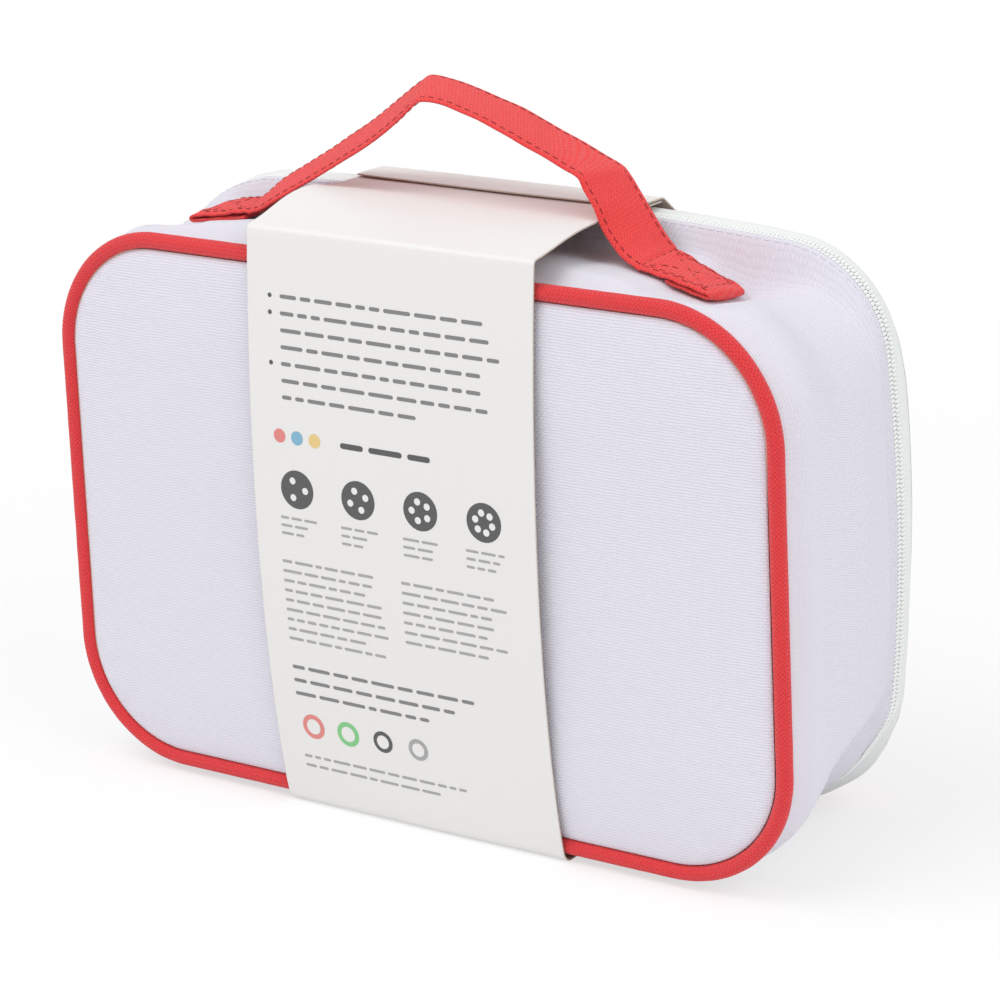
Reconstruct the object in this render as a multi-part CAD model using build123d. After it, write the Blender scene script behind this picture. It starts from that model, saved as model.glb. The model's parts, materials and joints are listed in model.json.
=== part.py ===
"""Soft toy doctor case: a zipped fabric case with piping, a strap handle and a card sleeve.

Frame: +X to the right seen from behind, +Y towards the lid, +Z up. The origin lies on the surface
that the case stands on, under the middle of the case. All sizes are in millimetres.
"""

import os
from dataclasses import dataclass
from math import asin, atan, degrees

from build123d import *

# ---- Swelling of the panels' covers --------------------------------------------------------------
PANEL_DOME = 2.0             # how far a panel's cover swells in its middle
PANEL_DOME_REACH = 30.0      # the swelling is complete this far inside the edge
DOME_CORNER = 5.3            # a piping's corner is rounder than the reach by this

# ---- Rear panel and its piping -------------------------------------------------------------------
REAR_SEAM_Y = -38.0          # plane of the rear piping's centre line
REAR_SET_IN = 7.3            # the rear piping's sides lie this far inside the zip line
SEAM_BOTTOM_Z = 4.4          # lowest run of both pipings' centre lines
REAR_TOP_Z = 167.0
REAR_CORNER = PANEL_DOME_REACH + DOME_CORNER
PIPING_RADIUS = 2.4

# ---- Zip line, the widest line of the case -------------------------------------------------------
ZIP_Y = 19.8                 # middle of the closed coil
ZIP_HALF_WIDTH = 128.5
ZIP_BOTTOM_Z = 3.0
ZIP_TOP_Z = 177.0            # middle of the arched top
ZIP_TOP_ARCH = 5.0           # the top's ends lie this far below its middle
ZIP_CORNER = 33.0
ZIP_SIDE_BOW = 7.3
WIDEST_Y = 27.2              # front edge of the straight band beside the coil

# ---- Front panel ---------------------------------------------------------------------------------
FRONT_SEAM_Y = 38.0
FRONT_SET_IN = 11.5          # the front piping's sides lie this far inside the zip line
FRONT_TOP_Z = 167.0
FRONT_TOP_ARCH = 1.5
FRONT_CORNER_GAIN = 0.7      # the front piping's corners are this much rounder
FRONT_CORNER = REAR_CORNER + FRONT_CORNER_GAIN
FRONT_SIDE_BOW = 1.5

# ---- Wall build-up -------------------------------------------------------------------------------
FABRIC = 0.8
FOAM = 3.0
LINING = 0.5
PLY_GAP = 0.15               # air between two curved plies
BOARD = 2.5
BULGE = 3.5                  # how far the gusset's sides swell past the piping's centre line
HUMP = 4.9                   # how far its top swells behind the piping
DECK_RISE = 2.0              # the sagging deck in front of the hump, above the piping's centre line
DECK_SAG_ARCH = 4.0          # extra arch of the deck, whose ends sag
DECK_SAG_CORNER = 9.0        # extra corner radius where the deck sags
SEAM_TUCK = 0.8              # offset of the gusset's edge where it meets the piping
SEAM_GAP = 0.2               # between the piping and what is sewn to it
EDGE_SOFTENING = 0.7
BINDING_THICKNESS = 1.4
BINDING_WIDTH = 7.0

# ---- Zip -----------------------------------------------------------------------------------------
TAPE = 0.6
COIL_WIDTH = 2.5             # one side of the coil
COIL_HEIGHT = 1.3
COIL_GAP = 0.3               # between the two sides of the coil
TAPE_UNDERLAP = 3.0          # tape behind the coil that is sewn to the wall
FOAM_SETBACK = 0.4           # foam and lining stop this far from the tape

# ---- Cross seams, the ends of the hinge gusset and of the zip --------------------------------------
CROSS_SEAM_LEFT = -53.5
CROSS_SEAM_RIGHT = 58.0
CROSS_SEAM_GAP = 0.5
FOLD_START_Y = 22.0          # in front of this line the hinge gusset's foam is pressed thin to fold
FOLD_LENGTH = 5.0
FOLD_FOAM = 0.6

# ---- Handle --------------------------------------------------------------------------------------
STRAP_WIDTH = 19.4
STRAP_THICKNESS = 1.8
HANDLE_Y = 3.3               # middle of the strap's width
LEFT_CREASE_X = -78.0        # where the strap lifts off the case
RIGHT_CREASE_X = 60.0
RISER_SAG = (-46.0, 188.3)   # bends of the strap's middle line, from left to right
LEFT_KNEE = (-16.0, 210.8)
CREST_END = (1.0, 209.5)
RIGHT_KNEE = (42.8, 193.4)
KNEE_RADIUS = 7.0
TILT_Z = 185.5               # height at which the strap leans
TILT_CLEARANCE = 2.8         # the flexing stretch ends this far above it
END_LEFT_X = -97.0           # folded ends of the strap
END_RIGHT_X = 84.0
END_FOLD = 12.5              # length of the doubled part
SEAT_GAP = 0.3

# ---- Card sleeve ---------------------------------------------------------------------------------
CARD = 0.5
SLEEVE_LEFT_X = -48.5
SLEEVE_RIGHT_X = 48.5
SLEEVE_REAR_Y = -41.0        # rear panel at its foot, in the middle of the card
SLEEVE_REAR_BOW = (-44.9, 92.0)  # its outermost line
SLEEVE_REAR_FOLD = (-40.6, 176.2)
SLEEVE_FRONT_Y = 41.25
SLEEVE_FRONT_BOW = (42.6, 85.0)
SLEEVE_CREST = (-8.0, 179.2)
SLEEVE_SHOULDER = (26.6, 178.0)
SLEEVE_CHAMFER_Z = 168.0     # where the front panel turns upright
FLAP_EDGE_Y = 13.6
FLAP_LIFT = 0.9              # flap's middle over the top panel's middle
FOLD_RADIUS = 1.5
FOOT_RADIUS = 3.2            # bend from the rear panel into the bottom panel
CARD_GAP = 0.3

# ---- Sliders and pulls ---------------------------------------------------------------------------
SLIDER_LENGTH = 10.0
SLIDER_MOUTH = 8.0           # width at the end that meets the other slider
SLIDER_TAIL = 7.2
SLIDER_PLATE = 1.2
SLIDER_CORNER = 1.2
SLIDER_SPLIT = 0.6           # between the two sliders where they meet
FLANGE_THICKNESS = 0.7
FLANGE_LENGTH = 8.0
CROWN_WIDTH = 2.0
CROWN_RISE = 1.75            # middle of the crown's metal above the plate
CROWN_METAL = 0.9
CROWN_HALF_LENGTH = 2.75
CROWN_SHIFT = 1.2            # crown's middle from the slider's middle, away from the mouth
PULL_LENGTH = 27.0
PULL_NECK = 5.6
PULL_WIDTH = 6.8
PULL_THICKNESS = 1.1
PULL_EYE_WIDTH = 3.0
PULL_EYE_LENGTH = 3.2
PULL_LEAN = 2.0              # degrees that the raised pull leans on the tape
PULL_WINDOW = (9.0, 2.4)     # length and width of the opening in the pull


@dataclass
class Outline:
    """A rounded outline, flat at the bottom, bowed at its two sides and arched at the top."""

    half_width: float
    bottom: float
    top: float
    corner: float
    bow: float
    arch: float

    def inset(self, depth):
        """The same outline drawn in by depth on every side."""
        half_height = (self.top - self.bottom) / 2
        bow = self.bow * ((half_height - depth) / half_height) ** 2
        arch = self.arch * ((self.half_width - depth) / self.half_width) ** 2
        return Outline(
            self.half_width - depth, self.bottom + depth, self.top - depth, self.corner - depth, bow, arch,
        )

    def face(self, y):
        """The outline as a flat face at station y."""
        corner_x = self.half_width - self.bow
        corner_z = self.top - self.arch
        middle = (self.bottom + corner_z) / 2
        corners = [
            (-corner_x, self.bottom), (corner_x, self.bottom), (corner_x, corner_z), (-corner_x, corner_z),
        ]
        flat = make_face([
            Line(corners[0], corners[1]),
            side(corners[1], (self.half_width, middle), corners[2], self.bow),
            side(corners[2], (0, self.top), corners[3], self.arch),
            side(corners[3], (-self.half_width, middle), corners[0], self.bow),
        ])
        flat = fillet(flat.vertices(), self.corner)
        return upright(y) * flat


def side(start, middle, end, bow):
    """One side of an outline: an arc, or a line where it has no bow."""
    return ThreePointArc(start, middle, end) if bow > 0 else Line(start, end)


def upright(y):
    """The plane at station y, with X across and Z up."""
    return Plane(origin=(0, y, 0), x_dir=(1, 0, 0), z_dir=(0, -1, 0))


REAR = Outline(ZIP_HALF_WIDTH - REAR_SET_IN, SEAM_BOTTOM_Z, REAR_TOP_Z, REAR_CORNER, 0.0, 0.0)
ZIP = Outline(ZIP_HALF_WIDTH, ZIP_BOTTOM_Z, ZIP_TOP_Z, ZIP_CORNER, ZIP_SIDE_BOW, ZIP_TOP_ARCH)
FRONT = Outline(
    ZIP_HALF_WIDTH - FRONT_SET_IN, SEAM_BOTTOM_Z, FRONT_TOP_Z, FRONT_CORNER, FRONT_SIDE_BOW,
    FRONT_TOP_ARCH,
)

# stations along the depth, each worked out from the seam that it belongs to
BODY_REAR_Y = REAR_SEAM_Y + PIPING_RADIUS + SEAM_GAP
BODY_EDGE_Y = ZIP_Y - COIL_GAP / 2 - COIL_WIDTH - SEAM_GAP
LID_EDGE_Y = ZIP_Y + COIL_GAP / 2 + COIL_WIDTH + SEAM_GAP
LID_FRONT_Y = FRONT_SEAM_Y - PIPING_RADIUS - SEAM_GAP
HINGE_FRONT_Y = FRONT_SEAM_Y - PIPING_RADIUS - SEAT_GAP

# depths of the plies below the outer face
FOAM_DEPTH = FABRIC + PLY_GAP
LINING_DEPTH = FOAM_DEPTH + FOAM + PLY_GAP
TAPE_DEPTH = FABRIC + PLY_GAP
LID_LINING_DEPTH = TAPE_DEPTH + TAPE + PLY_GAP


def smooth(value):
    """Ease from 0 to 1 as value goes from 0 to 1."""
    value = min(1.0, max(0.0, value))
    return value * value * (3 - 2 * value)


def mix(a, b, share):
    """The value that lies the given share of the way from a to b."""
    return a + (b - a) * share


def body_outline(y):
    """Outer face of the gusset at station y: it swells behind the piping, sags, and rises to the zip."""
    share = (y - BODY_REAR_Y) / (BODY_EDGE_Y - BODY_REAR_Y)
    behind_piping = smooth(share / 0.2)
    sides = mix(SEAM_TUCK, BULGE, behind_piping) * (1 - smooth((share - 0.6) / 0.4))
    hump = mix(SEAM_TUCK, HUMP, behind_piping)
    deck = REAR.top + mix(hump, DECK_RISE, smooth((share - 0.2) / 0.5))
    sag = smooth((share - 0.2) / 0.35) * (1 - smooth((share - 0.6) / 0.4))
    return Outline(
        mix(REAR.half_width, ZIP.half_width, share) + sides,
        mix(REAR.bottom, ZIP.bottom, share) - sides * 0.7,
        mix(deck, ZIP.top, smooth((share - 0.9) / 0.1)),
        mix(REAR.corner, ZIP.corner, share) + sides + DECK_SAG_CORNER * sag,
        ZIP.bow * max(share, 0.02),
        ZIP.arch * max(share, 0.02) + DECK_SAG_ARCH * sag,
    )


def lid_outline(y):
    """Outer face of the lid border at station y: straight beside the coil, then round to the front seam."""
    share = max(0.0, (y - WIDEST_Y) / (LID_FRONT_Y - WIDEST_Y))
    drawn_in = 1 - (1 - share**1.6) ** 0.8 if share < 1 else 1.0
    return Outline(
        mix(ZIP.half_width, FRONT.half_width + SEAM_TUCK, drawn_in),
        mix(ZIP.bottom, FRONT.bottom - SEAM_TUCK, drawn_in),
        mix(ZIP.top, FRONT.top + SEAM_TUCK, drawn_in),
        mix(ZIP.corner, FRONT.corner + SEAM_TUCK, drawn_in),
        mix(ZIP.bow, FRONT.bow, drawn_in),
        mix(ZIP.arch, FRONT.arch, drawn_in),
    )


def wall(outline, places, outer, inner):
    """A wall through the given stations, between two depths below the outline's outer face."""
    outside = loft([outline(y).inset(outer).face(y) for y in places])
    inside = loft([outline(y).inset(inner).face(y) for y in places])
    return outside - inside


def behind(y):
    """Everything behind station y, to trim a wall."""
    reach = 2 * ZIP_HALF_WIDTH
    align = (Align.CENTER, Align.MAX, Align.CENTER)
    return Pos(0, y, 0) * Box(2 * reach, reach, 2 * reach, align=align)


def stations(start, end, shares):
    """Stations from start to end at the given shares of the way."""
    return [mix(start, end, share) for share in shares]


BODY_SHARES = (0.0, 0.07, 0.2, 0.4, 0.6, 0.8, 0.9, 0.95, 1.0)
HINGE_SHARES = (0.25, 0.5, 0.75, 1.0)
LID_SHARES = (0.0, 0.25, 0.5, 0.75, 1.0)
DOME_SHARES = (0.0, 0.25, 0.5, 0.75, 1.0)


def hinge_zone(margin=0.0):
    """The box that holds the hinge gusset, between the two cross seams."""
    length = CROSS_SEAM_RIGHT - CROSS_SEAM_LEFT + 2 * margin
    middle = (CROSS_SEAM_RIGHT + CROSS_SEAM_LEFT) / 2
    depth = 2 * (FRONT_SEAM_Y - REAR_SEAM_Y)
    return Pos(middle, 0, 0) * Box(length, depth, ZIP_CORNER)


def u_wall(outline, places, outer, inner):
    """A wall that stops at the two cross seams."""
    return wall(outline, places, outer, inner) - hinge_zone(CROSS_SEAM_GAP)


# ---- Panels and pipings --------------------------------------------------------------------------
def piping(outline, y):
    """The welt: a round cord in its fabric, run round the outline."""
    path = outline.face(y).wires()[0]
    section = Plane(origin=path @ 0, z_dir=path % 0) * Circle(PIPING_RADIUS)
    return sweep(section, path=path)


def panel(outline, seam_y, outward):
    """Cover, board and lining of one panel, stacked inside its piping; outward is -1 or 1 along Y."""
    seat = outline.inset(PIPING_RADIUS + SEAM_GAP)
    inner_y = seam_y + outward * EDGE_SOFTENING
    edge_y = inner_y + outward * FABRIC
    cover = plate(seat, inner_y, edge_y) + loft([
        seat.inset(PANEL_DOME_REACH * share).face(edge_y + outward * dome(share)) for share in DOME_SHARES
    ])
    board = plate(seat, inner_y, inner_y - outward * BOARD)
    lining = plate(seat, inner_y - outward * BOARD, inner_y - outward * (BOARD + LINING))
    return cover, board, lining


def dome(share):
    """Rise of a panel's cover at a share of the way from its edge to its full swelling."""
    return PANEL_DOME * (1 - (1 - share) ** 2)


def plate(outline, start_y, end_y):
    """A flat plate of the outline between two stations."""
    return extrude(outline.face(start_y), amount=start_y - end_y)


def binding(outline, depth, start_y, end_y):
    """The tape folded over a seam's raw edges, standing on the lining inside the case."""
    outside = outline.inset(depth)
    return plate(outside, start_y, end_y) - plate(outside.inset(BINDING_THICKNESS), start_y, end_y)


# ---- Hinge gusset --------------------------------------------------------------------------------
def hinge_bottom(y):
    """Lowest line of the hinge gusset's outer face at station y."""
    if y <= BODY_EDGE_Y:
        return body_outline(y).bottom
    share = (y - BODY_EDGE_Y) / (HINGE_FRONT_Y - BODY_EDGE_Y)
    return mix(ZIP.bottom, FRONT.bottom - SEAM_TUCK, smooth(share))


def hinge_ply(outer, inner):
    """One ply of the bottom strip; outer and inner give its depths at a station."""
    places = stations(BODY_REAR_Y, BODY_EDGE_Y, BODY_SHARES)
    places += stations(BODY_EDGE_Y, HINGE_FRONT_Y, HINGE_SHARES)
    lower = [(y, hinge_bottom(y) + outer(y)) for y in places]
    upper = [(y, hinge_bottom(y) + inner(y)) for y in reversed(places)]
    profile = make_face([
        Spline(*lower),
        Line(lower[-1], upper[0]),
        Spline(*upper),
        Line(upper[-1], lower[0]),
    ])
    profile = Plane(origin=(CROSS_SEAM_LEFT, 0, 0), x_dir=(0, 1, 0), z_dir=(1, 0, 0)) * profile
    return extrude(profile, amount=CROSS_SEAM_RIGHT - CROSS_SEAM_LEFT)


def hinge_lining_depth(y):
    """The lining lies on the foam, which is pressed thin where the strip folds."""
    thin = FOAM_DEPTH + FOLD_FOAM + PLY_GAP
    return mix(LINING_DEPTH, thin, smooth((y - FOLD_START_Y) / FOLD_LENGTH))


# ---- Zip -----------------------------------------------------------------------------------------
def tape(start_y, end_y):
    """A band of zip tape between two stations."""
    return u_wall(lambda y: ZIP, [start_y, end_y], TAPE_DEPTH, TAPE_DEPTH + TAPE)


def coil(start_y, end_y):
    """One side of the closed coil, standing on its tape."""
    return u_wall(lambda y: ZIP, [start_y, end_y], TAPE_DEPTH - COIL_HEIGHT, TAPE_DEPTH)


# ---- Handle --------------------------------------------------------------------------------------
def deck_z(x, y):
    """Height of the case's top face at a point."""
    outline = body_outline(y)
    return outline.top - outline.arch * (x / (outline.half_width - outline.bow)) ** 2


def seat_line(crease_x, end_x):
    """Height and slope of the line on which a strap end lies, just above the deck."""
    middle_x = (crease_x + end_x) / 2
    edges = (HANDLE_Y - STRAP_WIDTH / 2, HANDLE_Y + STRAP_WIDTH / 2)
    height = max(deck_z(middle_x, y) for y in edges) + SEAT_GAP
    slope = (deck_z(end_x, HANDLE_Y) - deck_z(crease_x, HANDLE_Y)) / (end_x - crease_x)
    return height, slope


def seat_z(crease_x, end_x):
    """Height of the strap end's underside at its crease."""
    height, slope = seat_line(crease_x, end_x)
    return height + slope * (crease_x - end_x) / 2


def strap_slab(centre_line):
    """A strap of even thickness along a line of X and Z, as wide as the webbing."""
    half = STRAP_THICKNESS / 2
    outline = offset(centre_line, amount=half, kind=Kind.INTERSECTION, side=Side.BOTH)
    return extrude(upright(HANDLE_Y + STRAP_WIDTH / 2) * make_face(outline), amount=STRAP_WIDTH)


def strap_line():
    """Middle line of the whole strap, between its two creases."""
    left_z = seat_z(LEFT_CREASE_X, END_LEFT_X) + STRAP_THICKNESS / 2
    right_z = seat_z(RIGHT_CREASE_X, END_RIGHT_X) + STRAP_THICKNESS / 2
    return FilletPolyline(
        (LEFT_CREASE_X, left_z), RISER_SAG, LEFT_KNEE, CREST_END, RIGHT_KNEE, (RIGHT_CREASE_X, right_z),
        radius=KNEE_RADIUS,
    )


def handle_pieces():
    """The leaning strap and its two flexing stretches, cut from one slab."""
    slab = strap_slab(strap_line())
    above = standing_box(0, TILT_Z + TILT_CLEARANCE, 2 * STRAP_WIDTH)
    root_left = slab & root_zone(LEFT_CREASE_X, END_LEFT_X)
    root_right = slab & root_zone(RIGHT_CREASE_X, END_RIGHT_X)
    return slab & above, root_left, root_right


def root_zone(crease_x, end_x):
    """The box that holds one flexing stretch, from its sewn end up to the leaning strap."""
    low_z = seat_z(crease_x, end_x) + STRAP_THICKNESS + SEAT_GAP
    return standing_box(crease_x, low_z, TILT_Z + TILT_CLEARANCE - SEAM_GAP - low_z)


def standing_box(x, low_z, height):
    """A box about the strap's line at x that reaches up from low_z and over one side of the strap."""
    align = (Align.CENTER, Align.CENTER, Align.MIN)
    return Pos(x, HANDLE_Y, low_z) * Box(ZIP_HALF_WIDTH, 2 * STRAP_WIDTH, height, align=align)


def handle_end(crease_x, end_x):
    """A folded, stitched strap end: doubled at the tip, one layer thick where the strap lifts off."""
    sign = 1 if end_x > crease_x else -1
    height, slope = seat_line(crease_x, end_x)
    half_length = abs(end_x - crease_x) / 2
    profile = make_face(Polyline(
        (-sign * half_length, 0),
        (sign * half_length, 0),
        (sign * half_length, 2 * STRAP_THICKNESS),
        (sign * (half_length - END_FOLD), 2 * STRAP_THICKNESS),
        (-sign * half_length, STRAP_THICKNESS),
        close=True,
    ))
    solid = extrude(upright(STRAP_WIDTH / 2) * profile, amount=STRAP_WIDTH)
    tip = solid.edges().filter_by(Axis.Y).group_by(Axis.X)[-1 if sign > 0 else 0]
    solid = fillet(tip, STRAP_THICKNESS * 0.9)
    return Pos((crease_x + end_x) / 2, HANDLE_Y, height) * Rot(0, -degrees(atan(slope)), 0) * solid


# ---- Card sleeve ---------------------------------------------------------------------------------
def card_strip(line):
    """Card of even thickness along a line of Y and Z, as wide as the sleeve."""
    outline = offset(line, amount=CARD / 2, kind=Kind.INTERSECTION, side=Side.BOTH)
    profile = Plane(origin=(SLEEVE_LEFT_X, 0, 0), x_dir=(0, 1, 0), z_dir=(1, 0, 0)) * make_face(outline)
    return extrude(profile, amount=SLEEVE_RIGHT_X - SLEEVE_LEFT_X)


def sleeve_wrap():
    """Bottom, rear and arched top panels of the sleeve, folded from one card."""
    base_z = CARD / 2
    foot = (SLEEVE_REAR_Y, base_z)
    line = Wire([
        Line((SLEEVE_FRONT_Y - CARD / 2 - CARD_GAP, base_z), foot),
        ThreePointArc(foot, SLEEVE_REAR_BOW, SLEEVE_REAR_FOLD),
        Line(SLEEVE_REAR_FOLD, SLEEVE_CREST),
        Line(SLEEVE_CREST, SLEEVE_SHOULDER),
    ])
    line = line.fillet_2d(FOOT_RADIUS, bend(line, foot))
    line = line.fillet_2d(FOLD_RADIUS, bend(line, SLEEVE_REAR_FOLD))
    return card_strip(line)


def bend(line, point):
    """The vertex of a line that lies at a point."""
    return line.vertices().sort_by_distance(point)[:1]


def sleeve_front():
    """Front panel with its sloping shoulder and the flap that lies on the top panel."""
    share = (FLAP_EDGE_Y - SLEEVE_CREST[0]) / (SLEEVE_SHOULDER[0] - SLEEVE_CREST[0])
    flap_z = mix(SLEEVE_CREST[1], SLEEVE_SHOULDER[1], share)
    chamfer = (SLEEVE_FRONT_Y, SLEEVE_CHAMFER_Z)
    shoulder = (SLEEVE_SHOULDER[0] + 1.0, SLEEVE_SHOULDER[1] + FLAP_LIFT)
    line = Wire([
        ThreePointArc((SLEEVE_FRONT_Y, CARD + CARD_GAP), SLEEVE_FRONT_BOW, chamfer),
        Line(chamfer, shoulder),
        Line(shoulder, (FLAP_EDGE_Y, flap_z + FLAP_LIFT)),
    ])
    line = line.fillet_2d(2 * FOLD_RADIUS, bend(line, chamfer))
    line = line.fillet_2d(2 * FOLD_RADIUS, bend(line, shoulder))
    return card_strip(line)


# ---- Sliders and pulls ---------------------------------------------------------------------------
SIDE_CHORD = ZIP_TOP_Z - ZIP_TOP_ARCH - ZIP_BOTTOM_Z
SIDE_BOW_RADIUS = ((SIDE_CHORD / 2) ** 2 + ZIP_SIDE_BOW**2) / (2 * ZIP_SIDE_BOW)
SIDE_BOW_X = SIDE_BOW_RADIUS - ZIP_HALF_WIDTH
SIDE_MIDDLE_Z = ZIP_BOTTOM_Z + SIDE_CHORD / 2
COIL_FACE_X = -(ZIP_HALF_WIDTH - TAPE_DEPTH + COIL_HEIGHT)
PLATE_X = COIL_FACE_X - SEAT_GAP
CROWN_X = PLATE_X - SLIDER_PLATE
PULL_PIN_X = CROWN_X - SEAM_GAP - PULL_THICKNESS / 2
SLIDER_OFFSET = (SLIDER_LENGTH + SLIDER_SPLIT) / 2


def side_plane(x):
    """Plane facing out of the left side at x, with the body's side to its right and Z up."""
    return Plane(origin=(x, ZIP_Y, SIDE_MIDDLE_Z), x_dir=(0, -1, 0), z_dir=(-1, 0, 0))


def along_bow(solid, height):
    """Carry a piece made at the side's middle along the bow by a height."""
    angle = degrees(asin(height / SIDE_BOW_RADIUS))
    return solid.rotate(Axis((SIDE_BOW_X, ZIP_Y, SIDE_MIDDLE_Z), (0, 1, 0)), angle)


def slider(up):
    """A slider with its tapered plate, the flange round the body's coil and the crown; up is 1 or -1."""
    tail_z = up * SLIDER_LENGTH / 2
    plate_outline = make_face(Polyline(
        (-SLIDER_MOUTH / 2, -tail_z), (SLIDER_MOUTH / 2, -tail_z),
        (SLIDER_TAIL / 2, tail_z), (-SLIDER_TAIL / 2, tail_z), close=True,
    ))
    plate_outline = fillet(plate_outline.vertices(), SLIDER_CORNER)
    solid = extrude(side_plane(PLATE_X) * plate_outline, amount=SLIDER_PLATE)
    flange_reach = -TAPE_DEPTH + COIL_HEIGHT + SEAT_GAP - SEAM_GAP
    flange = Pos(SLIDER_TAIL / 2 - FLANGE_THICKNESS / 2, 0) * Rectangle(FLANGE_THICKNESS, FLANGE_LENGTH)
    solid += extrude(side_plane(PLATE_X) * flange, amount=-flange_reach)
    crown_line = FilletPolyline(
        (CROWN_X, CROWN_HALF_LENGTH), (CROWN_X - CROWN_RISE, CROWN_HALF_LENGTH),
        (CROWN_X - CROWN_RISE, -CROWN_HALF_LENGTH), (CROWN_X, -CROWN_HALF_LENGTH), radius=CROWN_METAL,
    )
    crown = make_face(offset(crown_line, amount=CROWN_METAL / 2, kind=Kind.INTERSECTION, side=Side.BOTH))
    crown_z = SIDE_MIDDLE_Z + up * CROWN_SHIFT
    solid += extrude(Pos(0, 0, crown_z) * (upright(ZIP_Y + CROWN_WIDTH / 2) * crown), amount=CROWN_WIDTH)
    return solid


def pull(up):
    """A pull tab hung on its slider's crown by a round pin; up is 1 or -1, the way it points."""
    tab = make_face(Polyline(
        (-PULL_NECK / 2, 0), (PULL_NECK / 2, 0), (PULL_WIDTH / 2, up * PULL_LENGTH),
        (-PULL_WIDTH / 2, up * PULL_LENGTH), close=True,
    ))
    far_corners = tab.vertices().sort_by(Axis.Y)[-2:] if up > 0 else tab.vertices().sort_by(Axis.Y)[:2]
    tab = fillet(far_corners, PULL_WIDTH * 0.45)
    eye_depth = PULL_THICKNESS / 2 + PULL_EYE_LENGTH
    tab -= Pos(0, up * eye_depth / 2) * Rectangle(PULL_EYE_WIDTH, eye_depth)
    window_length, window_width = PULL_WINDOW
    window = SlotOverall(window_length, window_width, rotation=90)
    tab -= Pos(0, up * (PULL_LENGTH - window_length)) * window
    solid = extrude(side_plane(PULL_PIN_X + PULL_THICKNESS / 2) * tab, amount=PULL_THICKNESS)
    pin = Pos(PULL_PIN_X, ZIP_Y, SIDE_MIDDLE_Z) * Rot(90, 0, 0) * Cylinder(PULL_THICKNESS / 2, PULL_NECK)
    solid += pin
    lean = -PULL_LEAN if up > 0 else 0
    solid = solid.rotate(Axis((PULL_PIN_X, ZIP_Y, SIDE_MIDDLE_Z), (0, -up, 0)), lean)
    return Pos(0, 0, up * CROWN_SHIFT) * solid


# ---- The whole case ------------------------------------------------------------------------------
def body_pieces():
    """The rear panel, gusset, hinge gusset, body side of the zip and the handle's sewn ends."""
    cover, board, lining = panel(REAR, REAR_SEAM_Y, -1)
    places = stations(BODY_REAR_Y, BODY_EDGE_Y, BODY_SHARES)
    coil_end_y = ZIP_Y - COIL_GAP / 2
    tape_start_y = coil_end_y - COIL_WIDTH - TAPE_UNDERLAP
    padded = behind(tape_start_y - FOAM_SETBACK)
    underlap = u_wall(body_outline, places, TAPE_DEPTH, TAPE_DEPTH + TAPE) - behind(tape_start_y)
    return {
        "rear_panel_cover": cover,
        "rear_panel_board": board,
        "rear_panel_lining": lining,
        "rear_piping": piping(REAR, REAR_SEAM_Y),
        "rear_seam_binding": binding(
            REAR, LINING_DEPTH + LINING, BODY_REAR_Y, BODY_REAR_Y + BINDING_WIDTH,
        ),
        "gusset_cover": u_wall(body_outline, places, 0, FABRIC),
        "gusset_foam": u_wall(body_outline, places, FOAM_DEPTH, FOAM_DEPTH + FOAM) & padded,
        "gusset_lining": u_wall(body_outline, places, LINING_DEPTH, LINING_DEPTH + LINING) & padded,
        "hinge_cover": hinge_ply(lambda y: 0, lambda y: FABRIC),
        "hinge_foam": hinge_ply(lambda y: FOAM_DEPTH, lambda y: hinge_lining_depth(y) - PLY_GAP),
        "hinge_lining": hinge_ply(hinge_lining_depth, lambda y: hinge_lining_depth(y) + LINING),
        "zip_tape_body": tape(BODY_EDGE_Y, coil_end_y) + underlap,
        "zip_coil_body": coil(coil_end_y - COIL_WIDTH, coil_end_y),
        "handle_end_left": handle_end(LEFT_CREASE_X, END_LEFT_X),
        "handle_end_right": handle_end(RIGHT_CREASE_X, END_RIGHT_X),
    }


def lid_pieces():
    """The front panel, lid border and lid side of the zip."""
    cover, board, lining = panel(FRONT, FRONT_SEAM_Y, 1)
    border = stations(WIDEST_Y, LID_FRONT_Y, LID_SHARES)
    coil_start_y = ZIP_Y + COIL_GAP / 2
    straight = [coil_start_y + COIL_WIDTH + FOAM_SETBACK, WIDEST_Y]
    inner_face = LID_LINING_DEPTH + LINING
    binding_depth = inner_face + SEAM_GAP
    border_lining = u_wall(lid_outline, straight, LID_LINING_DEPTH, inner_face)
    border_lining += u_wall(lid_outline, border, LID_LINING_DEPTH, inner_face)
    return {
        "front_panel_cover": cover,
        "front_panel_board": board,
        "front_panel_lining": lining,
        "front_piping": piping(FRONT, FRONT_SEAM_Y),
        "front_seam_binding": binding(
            FRONT, binding_depth, LID_FRONT_Y - BINDING_WIDTH, LID_FRONT_Y,
        ),
        "lid_border_cover": u_wall(lid_outline, border, 0, FABRIC),
        "lid_border_lining": border_lining,
        "zip_tape_lid": tape(coil_start_y, WIDEST_Y - SEAM_GAP),
        "zip_coil_lid": coil(coil_start_y, coil_start_y + COIL_WIDTH),
    }


def handle_and_sleeve_pieces():
    """The strap with its flexing stretches, and the two moving halves of the card sleeve."""
    strap, root_left, root_right = handle_pieces()
    return {
        "handle_strap": strap,
        "handle_root_left": root_left,
        "handle_root_right": root_right,
        "sleeve_wrap": sleeve_wrap(),
        "sleeve_front": sleeve_front(),
    }


def slider_pieces():
    """The two sliders, mouth to mouth on the left side, each with its pull."""
    return {
        "zip_slider_upper": along_bow(slider(1), SLIDER_OFFSET),
        "zip_slider_lower": along_bow(slider(-1), -SLIDER_OFFSET),
        "zip_pull_upper": along_bow(pull(1), SLIDER_OFFSET),
        "zip_pull_lower": along_bow(pull(-1), -SLIDER_OFFSET),
    }


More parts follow.
